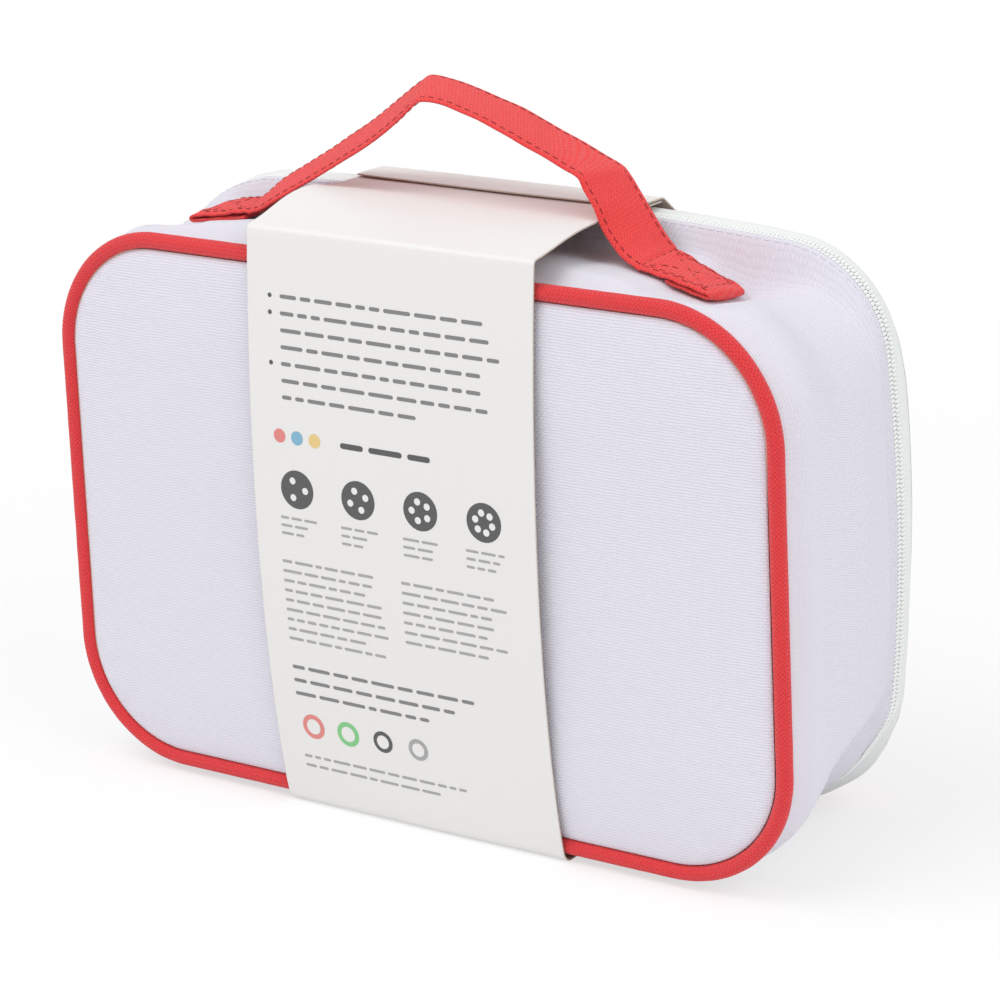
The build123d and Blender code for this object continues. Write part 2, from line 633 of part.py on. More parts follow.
def main():
    """Build every piece and write each to its own file."""
    os.makedirs("parts", exist_ok=True)
    pieces = body_pieces() | lid_pieces() | handle_and_sleeve_pieces() | slider_pieces()
    for name, solid in pieces.items():
        export_step(solid, f"parts/{name}.step")


if __name__ == "__main__":
    main()
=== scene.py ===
"""Looks of a soft toy doctor case: piped fabric shell, coil zip, webbing handle and card sleeve.

Sizes in the classes are in millimetres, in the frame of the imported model: +X to the right seen from
behind, +Y towards the lid, +Z up. Meshes are written in metres.
"""

import json
import logging
import math
from collections.abc import Callable
from dataclasses import dataclass, field
from enum import Enum

import bmesh
import bpy
import numpy as np
from mathutils import Matrix, Vector

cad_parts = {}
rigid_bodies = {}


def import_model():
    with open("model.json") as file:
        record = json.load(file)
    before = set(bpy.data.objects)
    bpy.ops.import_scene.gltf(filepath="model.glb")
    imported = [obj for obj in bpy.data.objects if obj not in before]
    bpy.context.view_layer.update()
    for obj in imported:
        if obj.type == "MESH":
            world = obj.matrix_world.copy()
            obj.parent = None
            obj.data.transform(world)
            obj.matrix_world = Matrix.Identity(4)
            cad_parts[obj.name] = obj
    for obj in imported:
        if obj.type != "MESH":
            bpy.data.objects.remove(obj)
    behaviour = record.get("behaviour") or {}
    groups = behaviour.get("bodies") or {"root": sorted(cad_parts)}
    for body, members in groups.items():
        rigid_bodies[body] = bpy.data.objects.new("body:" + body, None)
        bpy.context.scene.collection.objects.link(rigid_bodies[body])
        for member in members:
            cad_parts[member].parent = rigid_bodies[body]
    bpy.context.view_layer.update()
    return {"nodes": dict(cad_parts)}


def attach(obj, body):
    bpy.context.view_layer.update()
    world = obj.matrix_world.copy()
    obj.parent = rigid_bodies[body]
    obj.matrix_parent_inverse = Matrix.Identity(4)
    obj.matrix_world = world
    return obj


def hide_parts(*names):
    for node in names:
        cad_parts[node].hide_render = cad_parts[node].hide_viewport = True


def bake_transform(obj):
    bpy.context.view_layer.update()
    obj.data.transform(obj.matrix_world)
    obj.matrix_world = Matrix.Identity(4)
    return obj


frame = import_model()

MM = 0.001
LOG = logging.getLogger("doctor_case")

Array = np.ndarray
Socket = bpy.types.NodeSocket
Node = bpy.types.Node
Object = bpy.types.Object
Colour = tuple[float, float, float]
Place = tuple[float, float]


# ---- Numbers and curves ----
def smooth(value: Array | float) -> Array | float:
    """Ease from 0 to 1 as value goes from 0 to 1."""
    value = np.clip(value, 0.0, 1.0)
    return value * value * (3 - 2 * value)


def mix(start: Array | float, end: Array | float, share: Array | float) -> Array | float:
    """The value that lies the given share of the way from start to end."""
    return start + (end - start) * share


def unevenness(points: Array, scale: float, seed: int) -> Array:
    """Smooth hand-made unevenness between about -1 and 1.

    Args:
        points: N by 3 places in millimetres.
        scale: Length over which the value swings, in millimetres.
        seed: Picks one of many patterns.

    Returns:
        One value for each point.
    """
    draw = np.random.default_rng(seed)
    total = np.zeros(len(points))
    for octave in range(5):
        direction = draw.normal(size=3)
        direction /= np.linalg.norm(direction)
        phase = draw.uniform(0, 2 * math.pi)
        total += np.sin(points @ direction * (2 * math.pi / scale) * (0.7 + 0.25 * octave) + phase)
    return total / 3.0


def through_points(points: Array, count: int) -> Array:
    """A smooth line through points, evenly sampled.

    Args:
        points: K by D points that the line passes through.
        count: Number of samples.

    Returns:
        count by D samples of a centripetal Catmull-Rom spline.
    """
    ends = [2 * points[0] - points[1], 2 * points[-1] - points[-2]]
    padded = np.vstack([ends[0], points, ends[1]])
    steps = np.maximum(np.linalg.norm(np.diff(padded, axis=0), axis=1), 1e-6) ** 0.5
    knots = np.concatenate([[0.0], np.cumsum(steps)])
    fine = []
    for k in range(1, len(padded) - 2):
        t0, t1, t2, t3 = knots[k - 1 : k + 3]
        p0, p1, p2, p3 = padded[k - 1 : k + 3]
        for t in np.linspace(t1, t2, 24, endpoint=False):
            a1 = mix(p0, p1, (t - t0) / (t1 - t0))
            a2 = mix(p1, p2, (t - t1) / (t2 - t1))
            a3 = mix(p2, p3, (t - t2) / (t3 - t2))
            b1 = mix(a1, a2, (t - t0) / (t2 - t0))
            b2 = mix(a2, a3, (t - t1) / (t3 - t1))
            fine.append(mix(b1, b2, (t - t1) / (t2 - t1)))
    fine.append(padded[-2])
    line = np.array(fine)
    length = arc_lengths(line)
    return at_distances(line, length, np.linspace(0, length[-1], count))


def arc_lengths(points: Array) -> Array:
    """Distance along a line of points from its first one."""
    return np.concatenate([[0.0], np.cumsum(np.linalg.norm(np.diff(points, axis=0), axis=1))])


def at_distances(line: Array, length: Array, wanted: Array) -> Array:
    """Places on a line, whose points lie at the given lengths, at the wanted ones."""
    return np.column_stack([np.interp(wanted, length, column) for column in line.T])


def at_station(points: Array, y: Array | float) -> Array:
    """Places or directions of X and Z as ones of X, Y and Z."""
    return np.column_stack([points[:, 0], np.full(len(points), y), points[:, 1]])


def seats_along(line: Array, out: Array, wanted: Array) -> tuple[Array, Array, Array]:
    """Where small pieces sit along a line.

    Args:
        line: N by 3 points of the line.
        out: N by 3 directions away from the cloth.
        wanted: Distance of each piece along the line.

    Returns:
        Places, directions of the line and directions away from the cloth, one row for each piece.
    """
    length = arc_lengths(line)
    spots, facing, ahead, behind = (
        at_distances(source, length, wanted + step)
        for step, source in ((0, line), (0, out), (0.5, line), (-0.5, line))
    )
    return spots, ahead - behind, facing


@dataclass(frozen=True)
class Outline:
    """A rounded outline of X and Z: flat bottom, bowed sides, arched top."""

    half_width: float
    bottom: float
    top: float
    corner: float
    bow: float = 0.0
    arch: float = 0.0

    def inset(self, depth: float) -> "Outline":
        """The same outline drawn in by depth on every side.

        Args:
            depth: How far to draw it in.

        Returns:
            The smaller outline.
        """
        half_height = (self.top - self.bottom) / 2
        bow = self.bow * ((half_height - depth) / half_height) ** 2
        arch = self.arch * ((self.half_width - depth) / self.half_width) ** 2
        sides = self.half_width - depth, self.bottom + depth, self.top - depth, self.corner - depth
        return Outline(*sides, bow, arch)

    def circles(self) -> list[tuple[Array, float]]:
        """Centre and radius of the bottom, right, top and left sides, flat ones as huge circles.

        Returns:
            One pair for each side.
        """
        corner_x = self.half_width - self.bow
        corner_z = self.top - self.arch
        low, high = self.bottom, corner_z
        corners = np.array([[-corner_x, low], [corner_x, low], [corner_x, high], [-corner_x, high]])
        found = []
        for k, rise in enumerate((0.0, self.bow, self.arch, self.bow)):
            start, end = corners[k], corners[(k + 1) % 4]
            rise = max(rise, 1e-3)
            half = np.linalg.norm(end - start) / 2
            outward = np.array([end[1] - start[1], start[0] - end[0]]) / (2 * half)
            radius = (half**2 + rise**2) / (2 * rise)
            found.append(((start + end) / 2 - outward * (radius - rise), radius))
        return found

    def fillets(self) -> list[tuple[Array, Array, Array]]:
        """Centre and the two tangent points of each corner, from the lower right one round.

        Returns:
            Three places for each corner.
        """
        circles = self.circles()
        found = []
        for k in range(4):
            (first, first_radius), (second, second_radius) = circles[k], circles[(k + 1) % 4]
            a, b = first_radius - self.corner, second_radius - self.corner
            gap = np.linalg.norm(second - first)
            along = (a * a - b * b + gap * gap) / (2 * gap)
            across = math.sqrt(max(a * a - along * along, 0.0))
            direction = (second - first) / gap
            square = np.array([-direction[1], direction[0]])
            options = [first + direction * along + square * across * sign for sign in (1, -1)]
            quadrant = np.array([1 if k in (0, 1) else -1, 1 if k in (1, 2) else -1])
            middle = np.array([0.0, (self.bottom + self.top) / 2])
            centre = max(options, key=lambda p: float(((p - middle) * quadrant).min()))
            tangents = [c + (centre - c) / np.linalg.norm(centre - c) * r for c, r in (
                (first, first_radius), (second, second_radius),
            )]
            found.append((centre, tangents[0], tangents[1]))
        return found

    def run(
        self, start_x: float, end_x: float, density: float, closed: bool,
    ) -> tuple[Array, Array]:
        """Points and outward normals round the outline, from the bottom at start_x to it at end_x.

        Args:
            start_x: Where the run starts on the bottom.
            end_x: Where it ends on the bottom, after passing right, top and left.
            density: Points for each stretch, as a multiple of the usual number.
            closed: Leave out the last point, which is the first one again.

        Returns:
            N by 2 points and N by 2 unit normals.
        """
        circles, fillets = self.circles(), self.fillets()
        arcs = []
        for k, (centre, first, last) in enumerate(fillets):
            arcs.append((centre, self.corner, first, last, 28))
            if k < 3:
                arcs.append((*circles[k + 1], last, fillets[k + 1][1], 84 if k == 1 else 46))
        points, normals = [], []
        for centre, radius, first, last, usual in arcs:
            start = math.atan2(*(first - centre)[::-1])
            turn = (math.atan2(*(last - centre)[::-1]) - start) % (2 * math.pi)
            angles = start + np.linspace(0, turn, max(2, round(usual * density)), endpoint=False)
            around = np.column_stack([np.cos(angles), np.sin(angles)])
            points.append(centre + around * radius)
            normals.append(around)
        count = max(2, round(16 * density))
        floors = (0, start_x, fillets[0][1][0]), (len(points) + 1, fillets[3][2][0], end_x)
        for index, first_x, last_x in floors:
            x = np.linspace(first_x, last_x, count, endpoint=False)
            points.insert(index, np.column_stack([x, np.full(count, self.bottom)]))
            normals.insert(index, np.tile([0.0, -1.0], (count, 1)))
        if not closed:
            points.append(np.array([[end_x, self.bottom]]))
            normals.append(np.array([[0.0, -1.0]]))
        return np.vstack(points), np.vstack(normals)


@dataclass(frozen=True)
class Hollow:
    """A place where one corner of the used case is drawn in.

    Attributes:
        side: 1 for the right corners and -1 for the left ones.
        up: 1 for the upper corners and -1 for the lower ones.
        angles: Degrees round the corner at which the depths are given.
        depths: Depths in millimetres.
        stations: Stations at which the shares are given.
        shares: Share of the depth at each of them.
    """

    side: int
    up: int
    angles: tuple[float, ...]
    depths: tuple[float, ...]
    stations: tuple[float, ...]
    shares: tuple[float, ...]


HOLLOWS = (
    Hollow(1, -1, (-70, -45, -18, 4), (0, 1.7, 1.7, 0), (22, 25, 29, 33, 35), (0, 0.3, 1, 0.4, 0)),
    Hollow(
        1, 1, (-10, 8, 22, 45, 62, 80, 95, 110), (0, 1.1, 2.2, 2.6, 2.3, 1.6, 0.7, 0),
        (22, 25, 29, 33, 35), (0, 0.4, 1, 0.3, 0),
    ),
    Hollow(
        1, -1, (-5, 15, 40, 90, 110), (0, 1.8, 3.6, 3.6, 0),
        (8, 14, 17, 22, 26), (0, 0.6, 1, 0.6, 0),
    ),
    Hollow(
        -1, 1, (12, 32, 45, 60, 72, 84, 96, 108), (0, 2.8, 6.2, 6.8, 5.6, 3.9, 1.6, 0),
        (6, 13, 17, 25, 29, 35), (0, 0.2, 1, 0.85, 0.5, 0),
    ),
    Hollow(
        -1, 1, (24, 60, 72, 88, 102, 112), (0.3, 0.9, 1.1, 1.0, 0.4, 0),
        (-33, -29, -25, -21, -15, -9), (0, 0.5, 1, 0.9, 0.3, 0),
    ),
)


# Where the lower right fold starts: degrees round the corner, and its station at each.
RIDGE = (-24, -21, -16.5, -9, 0, 13, 22, 57, 90), (17, 14, 2, -9.5, -18.5, -25, -27, -29.5, -31)
# How far the zip's band is rolled: stations, and the depth at each.
ZIP_ROLL = (19, 22, 25, 27, 29, 33, 36), (0, -0.5, -1.3, -0.6, 0.9, 0.6, 0)


@dataclass(frozen=True)
class CaseShape:
    """The outlines of the case along its depth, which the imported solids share.

    Attributes:
        rear: The rear piping's outline.
        zip_line: Outline at the closed zip.
        front: The front piping's outline.
        seam_tuck: How far the cloth stands outside a piping's centre line.
        bulge: How far the sides swell behind the zip.
        hump: How far the top swells behind the rear piping.
        deck_rise: Height of the deck over the rear piping.
        sag_arch: Extra arch of the sagging deck.
        sag_corner: Extra corner radius of the sagging deck.
        corner_z: Middle of the upper corners.
        fold_in: Depth of the fold at the lower right.
        rim_in: How far its rim is drawn in at the zip.
        slump: Steps of X of the rear corners: left top, left low, right top, right low.
    """

    rear: Outline = Outline(121.2, 4.4, 167.0, 35.3)
    zip_line: Outline = Outline(128.5, 3.0, 177.0, 33.0, 7.3, 5.0)
    front: Outline = Outline(117.0, 4.4, 167.0, 36.0, 1.5, 1.5)
    rear_seam_y: float = -38.0
    front_seam_y: float = 38.0
    zip_y: float = 19.8
    body_rear_y: float = -35.4
    body_edge_y: float = 16.95
    widest_y: float = 27.2
    lid_front_y: float = 35.4
    hinge_front_y: float = 35.3
    seam_left_x: float = -54.0
    seam_right_x: float = 58.5
    seam_tuck: float = 0.8
    bulge: float = 3.5
    hump: float = 4.9
    deck_rise: float = 2.0
    sag_arch: float = 4.0
    sag_corner: float = 5.0
    corner_z: float = 141.0
    fold_in: float = 9.8
    rim_in: float = 3.8
    slump: tuple[float, float, float, float] = (1.3, 0.2, -0.6, 1.6)

    def body(self, y: float) -> Outline:
        """Outer face of the gusset at station y, in front of the rear piping.

        Args:
            y: The station.

        Returns:
            The outline there.
        """
        share = (y - self.body_rear_y) / (self.body_edge_y - self.body_rear_y)
        behind_piping = smooth(share / 0.2)
        sides = mix(self.seam_tuck, self.bulge, behind_piping) * (1 - smooth((share - 0.6) / 0.4))
        hump = mix(self.seam_tuck, self.hump, behind_piping)
        deck = self.rear.top + mix(hump, self.deck_rise, smooth((share - 0.2) / 0.5))
        sag = smooth((share - 0.2) / 0.35) * (1 - smooth((share - 0.6) / 0.4))
        return Outline(
            mix(self.rear.half_width, self.zip_line.half_width, share) + sides,
            mix(self.rear.bottom, self.zip_line.bottom, share) - sides * 0.7,
            mix(deck, self.zip_line.top, smooth((share - 0.9) / 0.1)),
            mix(self.rear.corner, self.zip_line.corner, share) + sides + self.sag_corner * sag,
            self.zip_line.bow * max(share, 0.02),
            self.zip_line.arch * max(share, 0.02) + self.sag_arch * sag,
        )

    def lid(self, y: float) -> Outline:
        """Outer face of the lid border at station y.

        Args:
            y: The station.

        Returns:
            The outline there.
        """
        share = min(max(0.0, (y - self.widest_y) / (self.lid_front_y - self.widest_y)), 1.0)
        drawn_in = 1 - (1 - share**1.6) ** 0.8
        near, far = self.zip_line, self.front
        return Outline(
            mix(near.half_width, far.half_width + self.seam_tuck, drawn_in),
            mix(near.bottom, far.bottom - self.seam_tuck, drawn_in),
            mix(near.top, far.top + self.seam_tuck, drawn_in),
            mix(near.corner, far.corner + self.seam_tuck, drawn_in),
            mix(near.bow, far.bow, drawn_in),
            mix(near.arch, far.arch, drawn_in),
        )

    def settled(self, points: Array, normals: Array, y: float) -> Array:
        """The even shape with its corners drawn in, the lower right one behind the zip.

        Args:
            points: N by 3 places on the even shape.
            normals: N by 3 outward normals.
            y: Their station.

        Returns:
            N by 3 moved places.
        """
        angle = self.corner_angle(points, 1, -1)
        ridge = np.interp(angle, *RIDGE)
        held = 1 - smooth((y - self.widest_y) / (self.lid_front_y - self.widest_y))
        rim = self.rim_in * smooth((angle + 16) / 42) * smooth((95 - angle) / 36) * held
        hollow = self.fold_in * smooth((angle + 24) / 30) * smooth((135 - angle) / 32)
        share = np.clip((y - ridge) / (self.body_edge_y - ridge), 0, 1)
        into = np.sin(math.pi / 2 * np.clip(share / 0.4, 0, 1))
        sink = into * mix(hollow, rim, smooth((share - 0.7) / 0.3))
        for hollow in HOLLOWS:
            angle = self.corner_angle(points, hollow.side, hollow.up)
            depth = np.interp(angle, hollow.angles, hollow.depths)
            sink += depth * np.interp(y, hollow.stations, hollow.shares)
        rolled = np.interp(y, *ZIP_ROLL)
        above = smooth((points[:, 2] - self.zip_line.bottom) / 6)
        return self.slumped(points - normals * (sink + rolled * above)[:, None])

    def corner_angle(self, points: Array, side: int, up: int) -> Array:
        """Degrees round one corner of the zip line: 0 level with its centre, 90 above or below it.

        Args:
            points: N by 3 places.
            side: 1 for the right corners and -1 for the left ones.
            up: 1 for the upper corners and -1 for the lower ones.

        Returns:
            N angles.
        """
        centre_x = self.zip_line.half_width - self.zip_line.corner
        centre_z = self.zip_line.bottom + self.zip_line.corner if up < 0 else self.corner_z
        above, beside = (points[:, 2] - centre_z) * up, points[:, 0] * side - centre_x
        return np.degrees(np.arctan2(above, beside))

    def slumped(self, points: Array) -> Array:
        """Places near the rear panel, each corner moved by its own step of X as the case leans.

        Args:
            points: N by 3 places.

        Returns:
            N by 3 moved places.
        """
        x, y, z = points.T
        across = smooth((np.abs(x) - 45) / 70)
        up = np.clip((z - 20) / 130, 0, 1)
        left_top, left_low, right_top, right_low = self.slump
        step = across * np.where(x < 0, mix(left_low, left_top, up), mix(right_low, right_top, up))
        moved = points.copy()
        moved[:, 0] += step * (1 - smooth((y + 30) / 40))
        return moved

    def hinge_bottom(self, y: float) -> float:
        """Lowest line of the hinge gusset's outer face at station y.

        Args:
            y: The station.

        Returns:
            Its Z.
        """
        if y <= self.body_edge_y:
            return self.body(y).bottom
        share = (y - self.body_edge_y) / (self.hinge_front_y - self.body_edge_y)
        return float(mix(self.zip_line.bottom, self.front.bottom - self.seam_tuck, smooth(share)))


# ---- Meshes ----
def linked(name: str, data: bpy.types.ID) -> Object:
    """A new object for a mesh, lamp or camera, linked to the scene.

    Args:
        name: Its name.
        data: What it shows.

    Returns:
        The object.
    """
    made = bpy.data.objects.new(name, data)
    bpy.context.scene.collection.objects.link(made)
    return made


@dataclass
class MeshSketch:
    """Points, faces and pattern places of one piece, gathered before it becomes an object."""

    points: list[Array] = field(default_factory=list)
    places: list[Array] = field(default_factory=list)
    faces: list[tuple[int, ...]] = field(default_factory=list)
    marks: list[int] = field(default_factory=list)
    size: int = 0

    def add(self, points: Array, places: Array) -> int:
        """Adds points with their pattern places, and returns the number of the first one.

        Args:
            points: N by 3 places.
            places: N by 2 pattern places.

        Returns:
            Number of the first point.
        """
        first = self.size
        self.points.append(np.asarray(points, float))
        self.places.append(np.asarray(places, float))
        self.size += len(points)
        return first

    def face(self, numbers: tuple[int, ...], flip: bool = False, mark: int = 0) -> None:
        """Adds a face with its material number, turned round where flip is set."""
        self.faces.append(numbers[::-1] if flip else numbers)
        self.marks.append(mark)

    def quads(
        self, first: int, rows: int, columns: int, wrap: bool, flip: bool, mark: int = 0,
    ) -> None:
        """Faces between the rows and columns of a grid of points.

        Args:
            first: Number of the grid's first point; the points run along the columns first.
            rows: Rows of the grid.
            columns: Points in each row.
            wrap: Join the last row to the first one.
            flip: Turn the faces round.
            mark: Material number of the faces.
        """
        for i in range(rows if wrap else rows - 1):
            a, b = first + i * columns, first + ((i + 1) % rows) * columns
            for j in range(columns - 1):
                self.face((a + j, a + j + 1, b + j + 1, b + j), flip, mark)

    def strip(self, first: list[int], second: list[int], wrap: bool, mark: int = 0) -> None:
        """Faces between two lines of points with as many points each.

        Args:
            first: Point numbers of one line.
            second: Those of the other.
            wrap: Join the last points to the first ones.
            mark: Material number of the faces.
        """
        for i in range(len(first) if wrap else len(first) - 1):
            j = (i + 1) % len(first)
            self.face((first[i], first[j], second[j], second[i]), mark=mark)

    def made(self, name: str, *finishes: "Finish") -> Object:
        """The sketch as an object in metres with its pattern places as a UV map.

        Args:
            name: Name of the piece.
            finishes: Its finishes, by the faces' marks.

        Returns:
            The linked object.
        """
        mesh = bpy.data.meshes.new(name)
        mesh.from_pydata((np.vstack(self.points) * MM).tolist(), [], self.faces)
        layer = mesh.uv_layers.new(name="cloth")
        corners = np.zeros(len(mesh.loops), np.int64)
        mesh.loops.foreach_get("vertex_index", corners)
        places = (np.vstack(self.places) * MM)[corners]
        layer.data.foreach_set("uv", places.astype(np.float32).ravel())
        for finish in finishes:
            mesh.materials.append(finish.material())
        mesh.polygons.foreach_set("material_index", np.array(self.marks, np.int32))
        mesh.polygons.foreach_set("use_smooth", np.ones(len(mesh.polygons), bool))
        mesh.validate()
        mesh.update()
        return linked(name, mesh)


def shell(outer: list[Array], inner: list[Array], places: list[Array], wrap: bool) -> MeshSketch:
    """A closed wall of cloth, from its lines round the case at each station.

    Args:
        outer: N by 3 points of the outer face at each station.
        inner: The same for the inner face.
        places: N by 2 pattern places at each station.
        wrap: The lines close into rings.

    Returns:
        The sketch of the wall.
    """
    rows, columns = len(outer[0]), len(outer)
    sketch = MeshSketch()
    pattern = np.stack(places, 1).reshape(-1, 2)
    out, into = (sketch.add(np.stack(face, 1).reshape(-1, 3), pattern) for face in (outer, inner))
    sketch.quads(out, rows, columns, wrap, flip=False)
    sketch.quads(into, rows, columns, wrap, flip=True)
    low = [i * columns for i in range(rows)]
    high = [i * columns + columns - 1 for i in range(rows)]
    sketch.strip([out + k for k in low], [into + k for k in low], wrap)
    sketch.strip([into + k for k in high], [out + k for k in high], wrap)
    if not wrap:
        start = list(range(columns))
        end = [(rows - 1) * columns + k for k in range(columns)]
        sketch.strip([into + k for k in start], [out + k for k in start], wrap=False)
        sketch.strip([out + k for k in end], [into + k for k in end], wrap=False)
    return sketch


# ---- Geometry Nodes: pieces that repeat along a line ----
@dataclass
class Row:
    """Equal small pieces set along a line, placed by Geometry Nodes.

    Attributes:
        name: Name of the finished piece.
        item: The small piece, lying along X with its top towards Z, in metres.
        size: Scale of every copy.
        seed: Fixed seed for the small differences in size.
        spread: How much the copies differ in size.
    """

    name: str
    item: Object
    size: float = 1.0
    seed: int = 1
    spread: float = 0.04

    def tree(self) -> bpy.types.NodeTree:
        """The node tree, with named inputs for its piece, size, spread, seed and material.

        Returns:
            The tree, made anew for each row.
        """
        tree = bpy.data.node_groups.new(f"{self.name}_row", "GeometryNodeTree")
        for way, label, kind in (
            ("INPUT", "Points", "Geometry"),
            ("INPUT", "Piece", "Object"),
            ("INPUT", "Size", "Float"),
            ("INPUT", "Spread", "Float"),
            ("INPUT", "Seed", "Int"),
            ("INPUT", "Finish", "Material"),
            ("OUTPUT", "Pieces", "Geometry"),
        ):
            tree.interface.new_socket(label, in_out=way, socket_type=f"NodeSocket{kind}")
        graph = Graph(tree)
        inputs = graph.node("NodeGroupInput")
        along, out = (graph.node("GeometryNodeInputNamedAttribute") for _ in range(2))
        for stored, label in ((along, "along"), (out, "out")):
            stored.data_type = "FLOAT_VECTOR"
            stored.inputs["Name"].default_value = label
        first = graph.node("FunctionNodeAlignRotationToVector", axis="X")
        second = graph.node("FunctionNodeAlignRotationToVector", axis="Z", pivot_axis="X")
        piece = graph.node("GeometryNodeObjectInfo", transform_space="ORIGINAL")
        vary = graph.node("FunctionNodeRandomValue", data_type="FLOAT")
        dots = graph.node("GeometryNodeMeshToPoints")
        copies = graph.node("GeometryNodeInstanceOnPoints")
        solid = graph.node("GeometryNodeRealizeInstances")
        finish = graph.node("GeometryNodeSetMaterial")
        outputs = graph.node("NodeGroupOutput")
        lowest, highest = [socket for socket in vary.inputs if socket.type == "VALUE"][:2]
        drawn = next(socket for socket in vary.outputs if socket.type == "VALUE")
        graph.link(graph.math("SUBTRACT", inputs.outputs["Size"], inputs.outputs["Spread"]), lowest)
        graph.link(graph.math("ADD", inputs.outputs["Size"], inputs.outputs["Spread"]), highest)
        graph.link(drawn, copies.inputs["Scale"])
        for source, result, target, entry in (
            (inputs, "Seed", vary, "Seed"),
            (along, "Attribute", first, "Vector"),
            (first, "Rotation", second, "Rotation"),
            (out, "Attribute", second, "Vector"),
            (inputs, "Points", dots, "Mesh"),
            (dots, "Points", copies, "Points"),
            (inputs, "Piece", piece, "Object"),
            (piece, "Geometry", copies, "Instance"),
            (second, "Rotation", copies, "Rotation"),
            (copies, "Instances", solid, "Geometry"),
            (solid, "Geometry", finish, "Geometry"),
            (inputs, "Finish", finish, "Material"),
            (finish, "Geometry", outputs, "Pieces"),
        ):
            graph.link(source.outputs[result], target.inputs[entry])
        return tree

    def made(self, points: Array, along: Array, out: Array, finish: "Finish") -> Object:
        """Sets the pieces on points and returns them as one plain mesh.

        Args:
            points: N by 3 places in millimetres.
            along: N by 3 directions of the pieces' length.
            out: N by 3 directions that their tops face.
            finish: Their finish.

        Returns:
            The object with all the copies in its mesh.
        """
        mesh = bpy.data.meshes.new(self.name)
        mesh.from_pydata((points * MM).tolist(), [], [])
        for label, values in (("along", along), ("out", out)):
            attribute = mesh.attributes.new(label, "FLOAT_VECTOR", "POINT")
            attribute.data.foreach_set("vector", np.asarray(values, np.float32).ravel())
        carrier = linked(f"{self.name}_carrier", mesh)
        modifier = carrier.modifiers.new("row", "NODES")
        modifier.node_group = self.tree()
        values = {
            "Piece": self.item, "Size": self.size, "Spread": self.spread, "Seed": self.seed,
            "Finish": finish.material(),
        }
        for entry in modifier.node_group.interface.items_tree:
            if entry.in_out == "INPUT" and entry.name in values:
                modifier[entry.identifier] = values[entry.name]
        depsgraph = bpy.context.evaluated_depsgraph_get()
        result = bpy.data.meshes.new_from_object(carrier.evaluated_get(depsgraph))
        result.name = self.name
        bpy.data.objects.remove(carrier)
        bpy.data.meshes.remove(mesh)
        result.polygons.foreach_set("use_smooth", np.ones(len(result.polygons), bool))
        return linked(self.name, result)


def bead(name: str, length: float, width: float, height: float, squareness: float) -> Object:
    """A small rounded bar for stitches and zip teeth, closed, in metres.

    Args:
        name: Name of the bar.
        length: Length along X in millimetres.
        width: Width along Y in millimetres.
        height: Height along Z in millimetres.
        squareness: 0 for an egg's ends, towards 1 for blunt ends.

    Returns:
        The bar's object, which isn't shown.
    """
    build = bmesh.new()
    bmesh.ops.create_uvsphere(build, u_segments=8, v_segments=6, radius=0.5)
    power = 1 - 0.6 * squareness
    for vertex in build.verts:
        z = vertex.co.z * 2
        x, y = vertex.co.x, vertex.co.y
        around = math.hypot(x, y) * 2
        blunt = around**power if around > 1e-6 else 0.0
        turn = math.atan2(y, x)
        vertex.co = (
            z * length / 2 * MM,
            math.sin(turn) * blunt * width / 2 * MM,
            math.cos(turn) * blunt * height / 2 * MM,
        )
    bmesh.ops.recalc_face_normals(build, faces=build.faces[:])
    mesh = bpy.data.meshes.new(name)
    build.to_mesh(mesh)
    build.free()
    item = linked(name, mesh)
    item.hide_render = True
    return item


